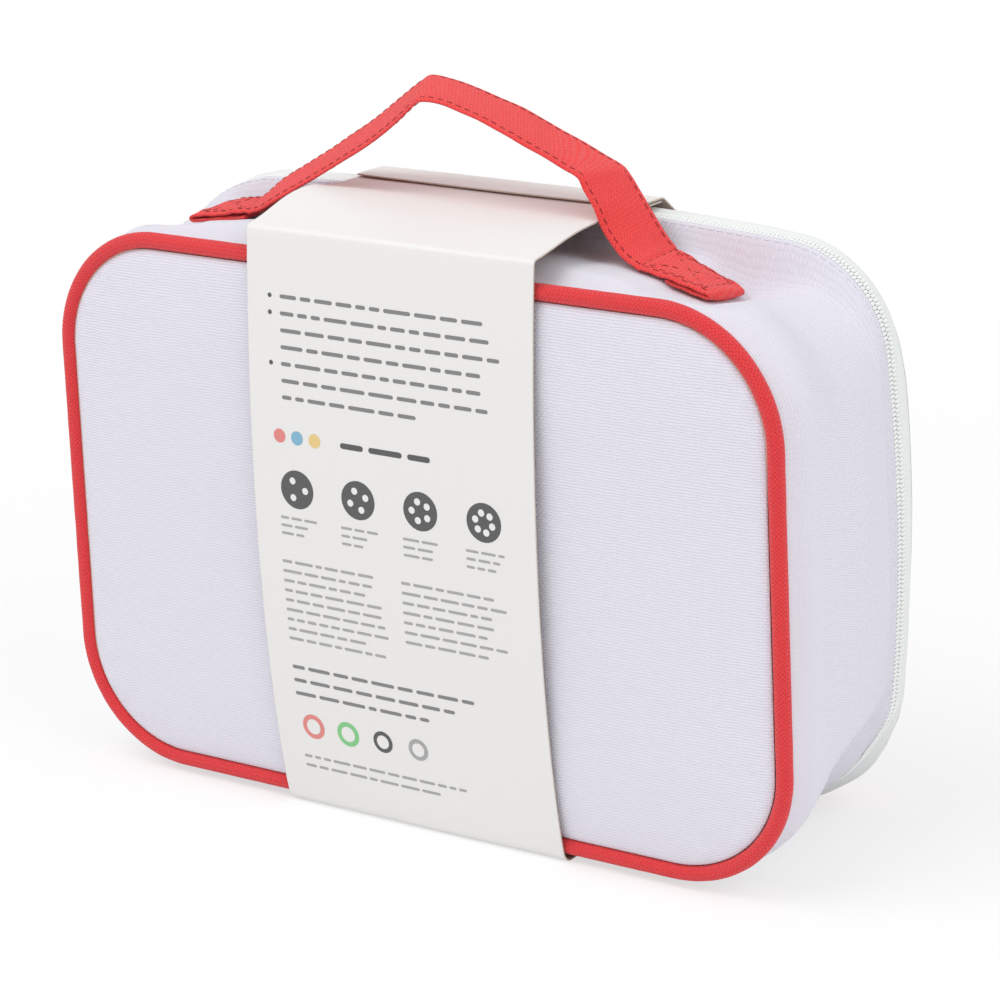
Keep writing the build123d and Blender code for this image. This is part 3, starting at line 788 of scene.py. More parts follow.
# ---- Finishes ----
class Graph:
    """Adds nodes to one tree and links them."""

    def __init__(self, tree: bpy.types.NodeTree) -> None:
        """Starts on an empty tree."""
        self.tree = tree
        tree.nodes.clear()

    def node(self, kind: str, **settings: object) -> Node:
        """A new node of the kind, with its settings.

        Args:
            kind: Its type.
            settings: Its properties.

        Returns:
            The node.
        """
        made = self.tree.nodes.new(kind)
        made.location = (len(self.tree.nodes) * 60, 0)
        for key, value in settings.items():
            setattr(made, key, value)
        return made

    def link(self, source: Socket, target: Socket) -> None:
        """Links one socket to another."""
        self.tree.links.new(source, target)

    def feed(self, target: Socket, value: object) -> None:
        """Links a socket into target, or writes a plain value there.

        Args:
            target: Takes the value.
            value: A socket, number, colour or vector.
        """
        if isinstance(value, Socket):
            self.link(value, target)
        else:
            target.default_value = value

    def math(
        self, operation: str, first: object, second: object = 0.0, third: object = 0.0,
    ) -> Socket:
        """The result of a Math node on sockets or numbers.

        Args:
            operation: What it does.
            first: First value.
            second: Second value.
            third: Third value.

        Returns:
            Its result.
        """
        made = self.node("ShaderNodeMath", operation=operation)
        for target, value in zip(made.inputs, (first, second, third)):
            self.feed(target, value)
        return made.outputs[0]

    def blend(self, share: object, first: object, second: object) -> Socket:
        """A colour between two colours.

        Args:
            share: Share of the second colour.
            first: One colour.
            second: The other.

        Returns:
            The mixed colour.
        """
        made = self.node("ShaderNodeMix", data_type="RGBA")
        self.feed(made.inputs[0], share)
        for target, value in ((made.inputs[6], first), (made.inputs[7], second)):
            self.feed(target, (*value, 1.0) if isinstance(value, tuple) else value)
        return made.outputs[2]

    def noise(self, place: Socket, scale: float, detail: float) -> Socket:
        """The value of a Noise texture.

        Args:
            place: Where it is read.
            scale: Its scale.
            detail: Its detail.

        Returns:
            Its value.
        """
        made = self.node("ShaderNodeTexNoise")
        self.link(place, made.inputs["Vector"])
        made.inputs["Scale"].default_value = scale
        made.inputs["Detail"].default_value = detail
        return made.outputs["Fac"]

    def bump(self, height: Socket, strength: float, depth: float) -> Socket:
        """The normal of a surface with this height, which is depth millimetres at 1.

        Args:
            height: Height from 0 to 1.
            strength: How strongly it shows.
            depth: Height in millimetres at 1.

        Returns:
            The normal.
        """
        made = self.node("ShaderNodeBump")
        made.inputs["Strength"].default_value = strength
        made.inputs["Distance"].default_value = depth * MM
        self.link(height, made.inputs["Height"])
        return made.outputs[0]

    def finish(self, surface: Node, values: dict[str, object]) -> None:
        """Feeds named inputs of a shader with sockets or plain values."""
        for label, value in values.items():
            self.feed(surface.inputs[label], value)


def weave_group() -> bpy.types.NodeTree:
    """The shared weave: threads that pass over and under each other, with slubs.

    Returns:
        The node group, made once.
    """
    if "weave" in bpy.data.node_groups:
        return bpy.data.node_groups["weave"]
    tree = bpy.data.node_groups.new("weave", "ShaderNodeTree")
    for label, kind in (
        ("Place", "NodeSocketVector"),
        ("Across", "NodeSocketFloat"),
        ("Along", "NodeSocketFloat"),
        ("Ribs", "NodeSocketFloat"),
    ):
        tree.interface.new_socket(label, in_out="INPUT", socket_type=kind)
    for label in ("Height", "Slub"):
        tree.interface.new_socket(label, in_out="OUTPUT", socket_type="NodeSocketFloat")
    graph = Graph(tree)
    inputs = graph.node("NodeGroupInput")
    outputs = graph.node("NodeGroupOutput")
    warp = graph.noise(inputs.outputs["Place"], 260.0, 1.0)
    split = graph.node("ShaderNodeSeparateXYZ")
    graph.link(inputs.outputs["Place"], split.inputs[0])
    wander = graph.math("MULTIPLY", graph.math("SUBTRACT", warp, 0.5), 0.9)
    u = graph.math("ADD", graph.math("DIVIDE", split.outputs[0], inputs.outputs["Across"]), wander)
    v = graph.math("ADD", graph.math("DIVIDE", split.outputs[1], inputs.outputs["Along"]), wander)
    sine_u = graph.math("SINE", graph.math("MULTIPLY", u, math.pi))
    sine_v = graph.math("SINE", graph.math("MULTIPLY", v, math.pi))
    over = graph.math("GREATER_THAN", graph.math("MULTIPLY", sine_u, sine_v), 0.0)
    round_u = graph.math("ABSOLUTE", sine_u)
    round_v = graph.math("ABSOLUTE", sine_v)
    under = graph.math("SUBTRACT", 1.0, over)
    plain = graph.math(
        "ADD", graph.math("MULTIPLY", over, round_u), graph.math("MULTIPLY", under, round_v),
    )
    ribbed = graph.math("MULTIPLY", round_v, inputs.outputs["Ribs"])
    kept = graph.math("MULTIPLY", plain, graph.math("SUBTRACT", 1.0, inputs.outputs["Ribs"]))
    graph.link(graph.math("ADD", ribbed, kept), outputs.inputs["Height"])
    graph.link(graph.noise(inputs.outputs["Place"], 900.0, 2.0), outputs.inputs["Slub"])
    return tree


@dataclass(frozen=True)
class Surface:
    """What every finish has.

    Attributes:
        name: Name of the material.
        colour: Main colour.
        second: Painted shade between the threads of a woven finish; the colour that a plain finish
            drifts towards.
    """

    name: str
    colour: Colour
    second: Colour

    def material(self) -> bpy.types.Material:
        """The material, made once.

        Returns:
            The material of this name.
        """
        if self.name in bpy.data.materials:
            return bpy.data.materials[self.name]
        made = bpy.data.materials.new(self.name)
        made.use_nodes = True
        graph = Graph(made.node_tree)
        output = graph.node("ShaderNodeOutputMaterial")
        shader = graph.node("ShaderNodeBsdfPrincipled")
        graph.link(shader.outputs[0], output.inputs["Surface"])
        graph.finish(shader, self.look(graph, graph.node("ShaderNodeTexCoord")))
        return made

    def look(self, graph: Graph, place: Node) -> dict[str, object]:
        """The shader's inputs: each kind of finish gives its own."""
        return {}


@dataclass(frozen=True)
class Fabric(Surface):
    """A woven finish.

    Attributes:
        across: Thread spacing along U in millimetres.
        along: Thread spacing along V in millimetres.
        depth: Height of the threads in millimetres.
        ribs: 0 for a plain weave, towards 1 for ribs only.
        turn: Turn of the weave in degrees.
        slub: How much single threads differ in shade.
        flat_place: The weave lies in the X and Z plane and not on the cloth map.
    """

    across: float = 0.8
    along: float = 0.8
    depth: float = 0.12
    ribs: float = 0.0
    turn: float = 0.0
    slub: float = 0.05
    flat_place: bool = False

    def look(self, graph: Graph, place: Node) -> dict[str, object]:
        """The weave as relief, roughness and colour, with painted shade between the threads.

        Args:
            graph: Takes the nodes.
            place: Texture coordinates.

        Returns:
            The shader's inputs.
        """
        turned = graph.node("ShaderNodeMapping")
        if self.flat_place:
            turned.inputs["Rotation"].default_value = (math.radians(-90), 0, 0)
            graph.link(place.outputs["Object"], turned.inputs["Vector"])
        else:
            turned.inputs["Rotation"].default_value = (0, 0, math.radians(self.turn))
            graph.link(place.outputs["UV"], turned.inputs["Vector"])
        weave = graph.node("ShaderNodeGroup", node_tree=weave_group())
        spacing = {"Across": self.across * MM, "Along": self.along * MM, "Ribs": self.ribs}
        graph.finish(weave, {"Place": turned.outputs[0], **spacing})
        height, slub = weave.outputs["Height"], weave.outputs["Slub"]
        # Painted shade: the colour darkens towards second in the low places between the threads,
        # where shade falls.
        threads = graph.blend(graph.math("POWER", height, 0.6), self.second, self.colour)
        pale = tuple(min(1.0, c * (1 + self.slub)) for c in self.colour)
        dark = tuple(c * (1 - self.slub) for c in self.colour)
        mixed = graph.blend(0.35, threads, graph.blend(slub, dark, pale))
        cloudy = graph.noise(place.outputs["Object"], 28.0, 3.0)
        return {
            "Base Color": graph.blend(graph.math("MULTIPLY", cloudy, 0.06), mixed, self.second),
            "Roughness": graph.math("MULTIPLY_ADD", height, -0.08, 0.92),
            "Normal": graph.bump(height, 0.55, self.depth),
            "Sheen Weight": 0.15,
            "Sheen Roughness": 0.6,
            "Specular IOR Level": 0.25,
        }


@dataclass(frozen=True)
class Plain(Surface):
    """A finish without threads: card, ink, board, nylon or enamel.

    Attributes:
        rough: Roughness.
        grain: Size of the grain as a Noise scale.
        drift: How far the colour drifts.
        depth: Height of the grain in millimetres.
        coat: Weight of a clear coat.
    """

    rough: float = 0.5
    grain: float = 600.0
    drift: float = 0.3
    depth: float = 0.01
    coat: float = 0.0

    def look(self, graph: Graph, place: Node) -> dict[str, object]:
        """The grain as colour, roughness and relief.

        Args:
            graph: Takes the nodes.
            place: Texture coordinates.

        Returns:
            The shader's inputs.
        """
        grain = graph.noise(place.outputs["Object"], self.grain, 4.0)
        patches = graph.noise(place.outputs["Object"], self.grain / 12, 2.0)
        share = graph.math("MULTIPLY", graph.math("ADD", grain, patches), self.drift / 2)
        return {
            "Base Color": graph.blend(share, self.colour, self.second),
            "Roughness": graph.math("MULTIPLY_ADD", grain, 0.12, self.rough - 0.06),
            "Normal": graph.bump(grain, 0.5, self.depth),
            "Coat Weight": self.coat,
            "Coat Roughness": 0.12,
        }


class Finish(Enum):
    """Every finish of the case."""

    # The second colour of each woven finish is painted shade for the low places between its threads.
    PANEL_CLOTH = Fabric(
        "panel_cloth", (0.82, 0.81, 0.89), (0.50, 0.49, 0.60),
        0.75, 0.85, 0.26, 0.4, flat_place=True,
    )
    GUSSET_CLOTH = Fabric(
        "gusset_cloth", (0.785, 0.775, 0.85), (0.56, 0.55, 0.64), 0.85, 0.7, 0.18, 0.35,
    )
    PIPING_CLOTH = Fabric(
        "piping_cloth", (0.85, 0.046, 0.053), (0.36, 0.012, 0.018), 0.9, 0.9, 0.4, 0.0, 45.0, 0.24,
    )
    WEBBING = Fabric(
        "webbing", (0.98, 0.060, 0.058), (0.44, 0.016, 0.020), 1.0, 0.8, 0.45, 0.2, 38.0, 0.22,
    )
    WEBBING_THREAD = Fabric(
        "webbing_thread", (0.42, 0.017, 0.023), (0.30, 0.010, 0.015), 0.3, 0.3, 0.04,
    )
    PALE_THREAD = Fabric("pale_thread", (0.76, 0.75, 0.84), (0.66, 0.65, 0.74), 0.3, 0.3, 0.04)
    LINING = Fabric("lining_cloth", (0.62, 0.62, 0.68), (0.48, 0.48, 0.54), 0.45, 0.45, 0.05)
    BINDING = Fabric("binding_tape", (0.68, 0.68, 0.74), (0.52, 0.52, 0.58), 0.9, 0.6, 0.1, 0.4)
    ZIP_TAPE = Fabric(
        "zip_tape_cloth", (0.81, 0.84, 0.83), (0.72, 0.745, 0.735), 0.5, 0.5, 0.06, 0.2,
    )
    COIL = Plain("coil_nylon", (0.86, 0.88, 0.875), (0.81, 0.83, 0.83), 0.4, 900.0, 0.4, 0.01)
    CARD = Plain("coated_card", (0.80, 0.79, 0.775), (0.76, 0.75, 0.735), 0.5, 300.0, 0.3, 0.01)
    KRAFT = Plain("card_core", (0.60, 0.51, 0.42), (0.47, 0.39, 0.31), 0.85, 700.0, 0.6, 0.04)
    INK_DARK = Plain("ink_dark", (0.085, 0.085, 0.085), (0.11, 0.11, 0.11), 0.5, 900.0, 0.5, 0.0)
    INK_GREY = Plain("ink_grey", (0.20, 0.20, 0.20), (0.25, 0.25, 0.25), 0.5, 900.0, 0.5, 0.0)
    INK_PALE = Plain("ink_pale", (0.36, 0.36, 0.36), (0.42, 0.42, 0.42), 0.5, 900.0, 0.5, 0.0)
    INK_RED = Plain("ink_red", (0.72, 0.22, 0.20), (0.76, 0.28, 0.26), 0.5, 900.0, 0.5, 0.0)
    INK_BLUE = Plain("ink_blue", (0.20, 0.42, 0.60), (0.26, 0.48, 0.64), 0.5, 900.0, 0.5, 0.0)
    INK_GOLD = Plain("ink_gold", (0.76, 0.55, 0.22), (0.80, 0.60, 0.28), 0.5, 900.0, 0.5, 0.0)
    INK_GREEN = Plain("ink_green", (0.20, 0.56, 0.22), (0.26, 0.60, 0.28), 0.5, 900.0, 0.5, 0.0)
    BOARD = Plain("stiffener_board", (0.55, 0.47, 0.36), (0.46, 0.39, 0.29), 0.9, 500.0, 0.6, 0.05)
    ENAMEL = Plain(
        "pull_enamel", (0.78, 0.78, 0.80), (0.72, 0.72, 0.74), 0.3, 200.0, 0.3, 0.004, 0.6,
    )

    def material(self) -> bpy.types.Material:
        """The finish's material."""
        return self.value.material()


def dress(made: Object, body: str, nodes: tuple[str, ...] = ()) -> Object:
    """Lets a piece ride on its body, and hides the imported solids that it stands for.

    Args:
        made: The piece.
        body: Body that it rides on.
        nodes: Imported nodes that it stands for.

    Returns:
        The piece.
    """
    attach(made, body)
    if nodes:
        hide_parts(*nodes)
    LOG.info("%s: %d faces on %s", made.name, len(made.data.polygons), body)
    return made


def keep_node(node: str, finish: Finish) -> None:
    """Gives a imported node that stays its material.

    Args:
        node: Its name.
        finish: The finish.
    """
    made = frame["nodes"][node]
    made.data.materials.clear()
    made.data.materials.append(finish.material())
    LOG.info("%s: packed node in %s", node, finish.name.lower())


# ---- Panels and pipings ----
class Turn(Enum):
    """Which way a panel faces along Y."""

    REAR = -1
    FRONT = 1


@dataclass
class PanelAssembly:
    """One stiffened panel: cover, board and lining inside a piped, bound seam.

    Attributes:
        name: First word of its pieces' names.
        body: Body that it rides on.
        shape: The case's shape.
        outline: Its piping's outline.
        seam_y: Plane of the piping.
        turn: Which way it faces.
        binding_inset: How far inside the outline the binding starts.
        binding_y: Stations of the binding's two edges.
        seat_inset: How far inside the outline the cover meets the piping.
        seat_rise: Height of the cover's edge over the seam's plane.
        edge_roll: How much the cloth rises just inside its edge.
        dome: How far the cover swells in its middle.
        dome_reach: The swelling is complete this far inside the edge.
        pucker: Height of the gathers by the seam.
        pucker_reach: Distance over which they fade.
        board: Thickness of the board.
        lining: Thickness of the lining.
        piping_radius: Radius of the piping.
        density: Points for each usual one round the outline.
        ring_depths: Distances of the rings of points from the edge.
    """

    name: str
    body: str
    shape: CaseShape
    outline: Outline
    seam_y: float
    turn: Turn
    binding_inset: float
    binding_y: Place
    seat_inset: float = 2.6
    seat_rise: float = 0.75
    edge_roll: float = 0.9
    dome: float = 2.0
    dome_reach: float = 30.0
    pucker: float = 0.22
    pucker_reach: float = 7.0
    board: float = 2.5
    lining: float = 0.5
    piping_radius: float = 2.4
    density: float = 1.5
    ring_depths: tuple[float, ...] = (
        0.0, 0.35, 0.8, 1.4, 2.2, 3.2, 4.5, 6.0, 8.0, 10.5, 13.5, 17.0, 21.0, 25.5, 30.0,
    )

    def rings(self) -> tuple[list[Array], list[float]]:
        """Rings of points from the edge to near the middle, with their distance from the edge.

        Returns:
            Rings of X and Z, and one depth for each.
        """
        edge = self.outline.inset(self.seat_inset)
        depths = list(self.ring_depths)
        rings = [edge.inset(depth).run(0.0, 0.0, self.density, closed=True)[0] for depth in depths]
        middle = np.array([0.0, (edge.bottom + edge.top) / 2])
        last = rings[-1]
        for share in np.linspace(0.9, 0.1, 9):
            rings.append(middle + (last - middle) * share)
            depths.append(self.dome_reach + (1 - share) * 40)
        return rings, depths

    def disc(
        self, rise: Callable[[Array, float], Array], flip: bool, sketch: MeshSketch,
    ) -> list[int]:
        """Adds one face of the panel to a sketch.

        Args:
            rise: Height above the seam plane for points at a depth from the edge.
            flip: Turn the faces round.
            sketch: Takes the points and faces.

        Returns:
            Numbers of the outermost ring's points.
        """
        rings, depths = self.rings()
        first_numbers = []
        for points, depth in zip(rings, depths):
            y = self.seam_y + self.turn.value * rise(points, depth)
            first_numbers.append(sketch.add(self.shape.slumped(at_station(points, y)), points))
        count = len(rings[0])
        middle_y = self.seam_y + self.turn.value * float(rise(rings[-1], depths[-1]).mean())
        middle_z = float(rings[-1][:, 1].mean())
        centre = sketch.add(np.array([[0.0, middle_y, middle_z]]), np.array([[0.0, middle_z]]))
        for a, b in zip(first_numbers, first_numbers[1:]):
            for i in range(count):
                j = (i + 1) % count
                sketch.face((a + i, a + j, b + j, b + i), flip)
        last = first_numbers[-1]
        for i in range(count):
            sketch.face((last + i, last + (i + 1) % count, centre), flip)
        return [first_numbers[0] + i for i in range(count)]

    def plate(self, name: str, outer: Callable, inner: Callable, finish: Finish) -> Object:
        """A closed plate between two faces of the panel.

        Args:
            name: Name of the piece.
            outer: Height of the face on the panel's outer side.
            inner: Height of the other face.
            finish: Its finish.

        Returns:
            The object.
        """
        sketch = MeshSketch()
        outward = self.turn is Turn.REAR
        top = self.disc(outer, flip=not outward, sketch=sketch)
        back = self.disc(inner, flip=outward, sketch=sketch)
        sketch.strip(*((back, top) if outward else (top, back)), wrap=True)
        return sketch.made(name, finish)

    def cover_rise(self, points: Array, depth: float) -> Array:
        """Height of the cover: rolled edge, gathers by the seam, and a soft swelling.

        Args:
            points: X and Z of the points.
            depth: Their distance from the edge.

        Returns:
            One height for each point.
        """
        share = min(depth / self.dome_reach, 1.0)
        base = self.seat_rise + self.edge_roll * (1 - math.exp(-depth / 1.1))
        base += self.dome * (1 - (1 - share) ** 2) * 0.92
        flat = at_station(points, 0.0)
        fade = math.exp(-depth / self.pucker_reach) * (1 - math.exp(-depth / 1.5))
        corner = np.clip((np.abs(points[:, 0]) - 75) / 30, 0, 1) * np.clip(
            (np.abs(points[:, 1] - 86) - 40) / 25, 0, 1,
        )
        gathers = unevenness(flat, 9.0, 11) * (0.35 + 1.4 * corner)
        broad = unevenness(flat, 85.0, 5) * 0.22 * min(1.0, depth / 12)
        return base + self.pucker * gathers * fade + broad

    def build_cover(self) -> None:
        """The outer cloth over the board."""
        made = self.plate(
            f"{self.name}_panel_cloth",
            self.cover_rise,
            lambda points, depth: np.full(len(points), self.seat_rise - 0.03),
            Finish.PANEL_CLOTH,
        )
        dress(made, self.body, (f"{self.name}_panel_cover",))

    def build_lining(self) -> None:
        """The lining over the board's inner side, drawn in at its edge."""
        back = 0.7 - self.board

        def slack(points: Array, depth: float) -> Array:
            """Height of the lining's inner face.

            Args:
                points: X and Z of the points.
                depth: Their distance from the edge.

            Returns:
                One height for each point.
            """
            flat = at_station(points, 0.0)
            soft = min(1.0, depth / 10)
            return back - self.lining - 0.3 * soft * (1 + unevenness(flat, 42.0, 23) * 0.5)

        made = self.plate(
            f"{self.name}_panel_lining_cloth",
            lambda points, depth: np.full(len(points), back - 0.02),
            slack,
            Finish.LINING,
        )
        dress(made, self.body, (f"{self.name}_panel_lining",))
        keep_node(f"{self.name}_panel_board", Finish.BOARD)

    def build_piping(self) -> None:
        """The piping: cloth wrapped tightly round a cord, a little uneven along its run."""
        node = f"{self.name}_piping"
        points, normals = self.outline.run(0.0, 0.0, 2.2, closed=True)
        closed = np.vstack([points, points[:1]])
        length = arc_lengths(closed)
        count, around = len(points), 20
        line = at_station(points, self.seam_y)
        swell = 1 + 0.014 * unevenness(line, 16.0, 7) + 0.01 * unevenness(line, 5.0, 8)
        turns = np.linspace(0, 2 * math.pi, around + 1)
        sketch = MeshSketch()
        grid = np.zeros((count + 1, around + 1, 3))
        places = np.zeros((count + 1, around + 1, 2))
        for j, angle in enumerate(turns):
            radius = self.piping_radius * swell
            ring = line + (np.cos(angle) * radius)[:, None] * at_station(normals, 0.0)
            ring[:, 1] += np.sin(angle) * radius
            grid[:count, j] = ring
            grid[count, j] = ring[0]
            places[:, j, 0] = length
            places[:, j, 1] = angle * self.piping_radius
        sketch.add(self.shape.slumped(grid.reshape(-1, 3)), places.reshape(-1, 2))
        sketch.quads(0, count + 1, around + 1, wrap=False, flip=False)
        made = sketch.made(f"{node}_cloth", Finish.PIPING_CLOTH)
        weld(made, 0.00001)
        dress(made, self.body, (node,))

    def build_binding(self) -> None:
        """The tape folded over the seam's raw edges inside the case."""
        node = f"{self.name}_seam_binding"
        start_y, end_y = self.binding_y
        outer, inner, places = [], [], []
        for y in np.linspace(start_y, end_y, 7):
            across = (y - start_y) / (end_y - start_y)
            fat = 1.4 * (0.55 + 0.45 * math.sin(math.pi * float(np.clip(across, 0.05, 0.95))))
            points, normals = self.outline.inset(self.binding_inset).run(0.0, 0.0, 1.0, closed=True)
            line = at_station(points, y)
            out = at_station(normals, 0.0)
            wave = 0.12 * unevenness(line, 12.0, 31)
            outer.append(self.shape.slumped(line))
            inner.append(self.shape.slumped(line - out * (fat + wave)[:, None]))
            length = arc_lengths(points)
            places.append(np.column_stack([length, np.full(len(points), y)]))
        made = shell(outer, inner, places, wrap=True).made(f"{node}_tape", Finish.BINDING)
        dress(made, self.body, (node,))

    def build(self) -> None:
        """The whole panel with its seam."""
        self.build_cover()
        self.build_lining()
        self.build_piping()
        self.build_binding()


def weld(made: Object, distance: float) -> None:
    """Merges points of a mesh that lie within distance, and points its faces outwards.

    Args:
        made: The piece.
        distance: The distance in metres.
    """
    build = bmesh.new()
    build.from_mesh(made.data)
    bmesh.ops.remove_doubles(build, verts=build.verts[:], dist=distance)
    bmesh.ops.recalc_face_normals(build, faces=build.faces[:])
    build.to_mesh(made.data)
    build.free()
    made.data.update()


# ---- Handle ----
@dataclass
class Handle:
    """The webbing strap: two folded, sewn ends and a creased arch between them."""

    near_y: float = -6.4
    far_y: float = 13.0
    thickness: float = 1.4
    ply_gap: float = 0.05
    left_fold: float = 19.5
    right_fold: float = 12.5
    lean_start_z: float = 170.5
    lean_end_z: float = 188.5
    right_shift: float = 5.0
    left_shift: float = 2.5
    samples: int = 420
    across: int = 12
    stitch_pitch: float = 3.1
    edge_stitch: float = 0.085

    def edges(self) -> Array:
        """Bends of the strap: X, Y and Z of the near edge, then of the far edge.

        Returns:
            One row of six for each bend, from left to right.
        """
        table = np.array([
            [-95.5, 165.9, -94.1, 166.2], [-84.6, 167.5, -89.3, 167.6],
            [-74.4, 169.4, -83.8, 168.8], [-71.0, 169.9, -81.7, 169.8],
            [-64.3, 173.6, -73.0, 176.2], [-55.2, 178.8, -61.7, 183.0],
            [-42.3, 186.5, -49.1, 191.0], [-29.4, 194.1, -36.2, 199.8],
            [-19.9, 201.0, -28.0, 205.8], [-13.8, 206.4, -22.3, 209.8],
            [-11.5, 208.1, -20.2, 211.2], [-8.7, 208.6, -17.4, 211.4],
            [-4.1, 208.3, -11.8, 210.5], [5.8, 205.9, -2.0, 208.3],
            [18.9, 201.1, 10.8, 204.5], [31.9, 195.7, 24.1, 199.2],
            [37.6, 193.1, 39.0, 192.9], [40.3, 192.0, 43.2, 191.1],
            [41.8, 191.0, 44.9, 190.1], [43.1, 188.3, 46.7, 188.0],
            [46.2, 183.0, 50.4, 182.6], [49.1, 176.5, 54.5, 176.6],
            [52.3, 172.2, 57.2, 172.7], [55.6, 169.2, 59.1, 170.3],
            [59.8, 167.1, 61.4, 168.3], [66.5, 165.7, 67.2, 165.3],
            [74.2, 164.2, 74.6, 162.3], [81.0, 162.3, 81.5, 159.1],
        ])
        near = np.column_stack([table[:, 0], np.full(len(table), self.near_y), table[:, 1]])
        far = np.column_stack([table[:, 2], np.full(len(table), self.far_y), table[:, 3]])
        return np.hstack([self.skewed(near), self.skewed(far)])

    def skewed(self, points: Array) -> Array:
        """Points of an edge with both sewn ends drawn a little towards the rear seam.

        Args:
            points: N by 3 places.

        Returns:
            N by 3 moved places.
        """
        x = points[:, 0]
        drawn = self.right_shift * smooth((x - 36) / 26) + self.left_shift * smooth((-42 - x) / 30)
        return points + drawn[:, None] * np.array([0.673, -1.0, 0.397])

    def folded(self) -> Array:
        """The bends with both ends turned under and carried back beneath themselves.

        Returns:
            The bends, with six more at each end.
        """
        bends = self.edges()
        drop = self.thickness + self.ply_gap
        turns = []
        for tip, inner, length in (
            (bends[0], bends[1], self.left_fold), (bends[-1], bends[-2], self.right_fold),
        ):
            rows = [
                self.shifted(tip, inner, ahead * self.thickness, down * drop)
                for ahead, down in ((0.75, 0.17), (0.95, 0.5), (0.6, 0.87))
            ]
            rows += [self.shifted(tip, inner, -back, drop) for back in (2.0, length / 2, length)]
            turns.append(np.array(rows))
        return np.vstack([turns[0][::-1], bends, turns[1]])

    @staticmethod
    def shifted(tip: Array, inner: Array, ahead: float, down: float) -> Array:
        """A bend moved along the strap end and down.

        Args:
            tip: The end's last bend.
            inner: The bend before it.
            ahead: Distance past the tip.
            down: Distance below the strap's middle.

        Returns:
            The moved bend.
        """
        moved = tip.copy()
        for k in (0, 3):
            way = (tip - inner)[k : k + 3] * (1, 0, 1)
            way /= np.linalg.norm(way)
            square = np.array([-way[2], 0, way[0]])
            square *= -np.sign(square[2])
            moved[k : k + 3] += way * ahead + square * down
        return moved

    def surface(self, line: Array, shares: Array) -> tuple[Array, Array]:
        """Middle surface of the strap and its normals.

        Args:
            line: N by 6 samples of the two edges.
            shares: Places across the strap, 0 at the near edge and 1 at the far one.

        Returns:
            N by M by 3 points and unit normals that point up on the strap's crown.
        """
        near, far = line[:, :3], line[:, 3:]
        grid = near[:, None] + (far - near)[:, None] * shares[None, :, None]
        along = np.gradient(grid, axis=0)
        across = np.broadcast_to((far - near)[:, None], grid.shape)
        normals = np.cross(along, across)
        normals /= np.linalg.norm(normals, axis=2, keepdims=True)
        return grid, normals

    def marks(self, line: Array) -> list[int]:
        """Sample numbers of the left tip, the left crease, the right crease and the right tip."""
        bends = self.edges()
        return [int(np.argmin(np.linalg.norm(line - bends[k], axis=1))) for k in (0, 2, -4, -1)]

    def relief(self, points: Array, stations: Array, marks: list[int]) -> Array:
        """How far the webbing stands off its even surface: waves, sewn creases, crumpled ends.

        Args:
            points: N by 3 places on the even surface.
            stations: Sample number of each place along the strap.
            marks: Sample numbers of the tips and the creases.

        Returns:
            N distances.
        """
        waves = 0.10 * unevenness(points, 14.0, 41) + 0.16 * unevenness(points, 46.0, 42)
        sewn = sum(np.exp(-(((stations - k) / 1.4) ** 2)) for k in marks[1:3])
        ends = smooth((marks[1] - stations) / 5) + smooth((stations - marks[2]) / 5)
        return waves + 0.24 * ends * unevenness(points, 6.0, 43) - 0.5 * sewn

    def build(self) -> None:
        """The strap as one closed band of webbing."""
        line = through_points(self.folded(), self.samples)
        around = np.linspace(0, 2 * math.pi, 2 * self.across, endpoint=False)
        shares = 0.5 - 0.5 * np.sign(np.cos(around)) * np.abs(np.cos(around)) ** 0.55
        heights = np.sign(np.sin(around)) * np.abs(np.sin(around)) ** 0.5 * self.thickness / 2
        grid, normals = self.surface(line, shares)
        normals = -normals if normals[len(line) // 2, 0, 2] < 0 else normals
        stations = np.repeat(np.arange(float(len(line))), len(shares))
        ripple = self.relief(grid.reshape(-1, 3), stations, self.marks(line))
        ripple = ripple.reshape(grid.shape[:2])
        crown = 0.25 * (1 - (2 * shares - 1) ** 2)
        points = grid + normals * (heights[None] + ripple + crown[None])[..., None]
        length = arc_lengths(grid[:, 0])
        width = self.far_y - self.near_y
        places = np.zeros((*grid.shape[:2], 2))
        places[..., 0] = length[:, None]
        places[..., 1] = (shares * width + np.where(heights < 0, width, 0))[None]
        sketch = MeshSketch()
        rows, columns = grid.shape[:2]
        sketch.add(points.reshape(-1, 3), places.reshape(-1, 2))
        for i in range(rows - 1):
            for j in range(columns):
                k = (j + 1) % columns
                below, above = i * columns, (i + 1) * columns
                sketch.face((below + j, above + j, above + k, below + k))
        sketch.face(tuple(range(columns)))
        sketch.face(tuple((rows - 1) * columns + j for j in reversed(range(columns))))
        made = sketch.made("handle_webbing_strap", Finish.WEBBING)
        weld(made, 0.00001)
        self.lean(made)
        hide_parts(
            "handle_strap", "handle_root_left", "handle_root_right",
            "handle_end_left", "handle_end_right",
        )
        self.build_stitches(line)

    def lean(self, made: Object) -> None:
        """Bakes a piece of the strap's placement into its mesh and logs its face count.

        Args:
            made: The piece.
        """
        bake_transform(made)
        LOG.info("%s: %d faces", made.name, len(made.data.polygons))

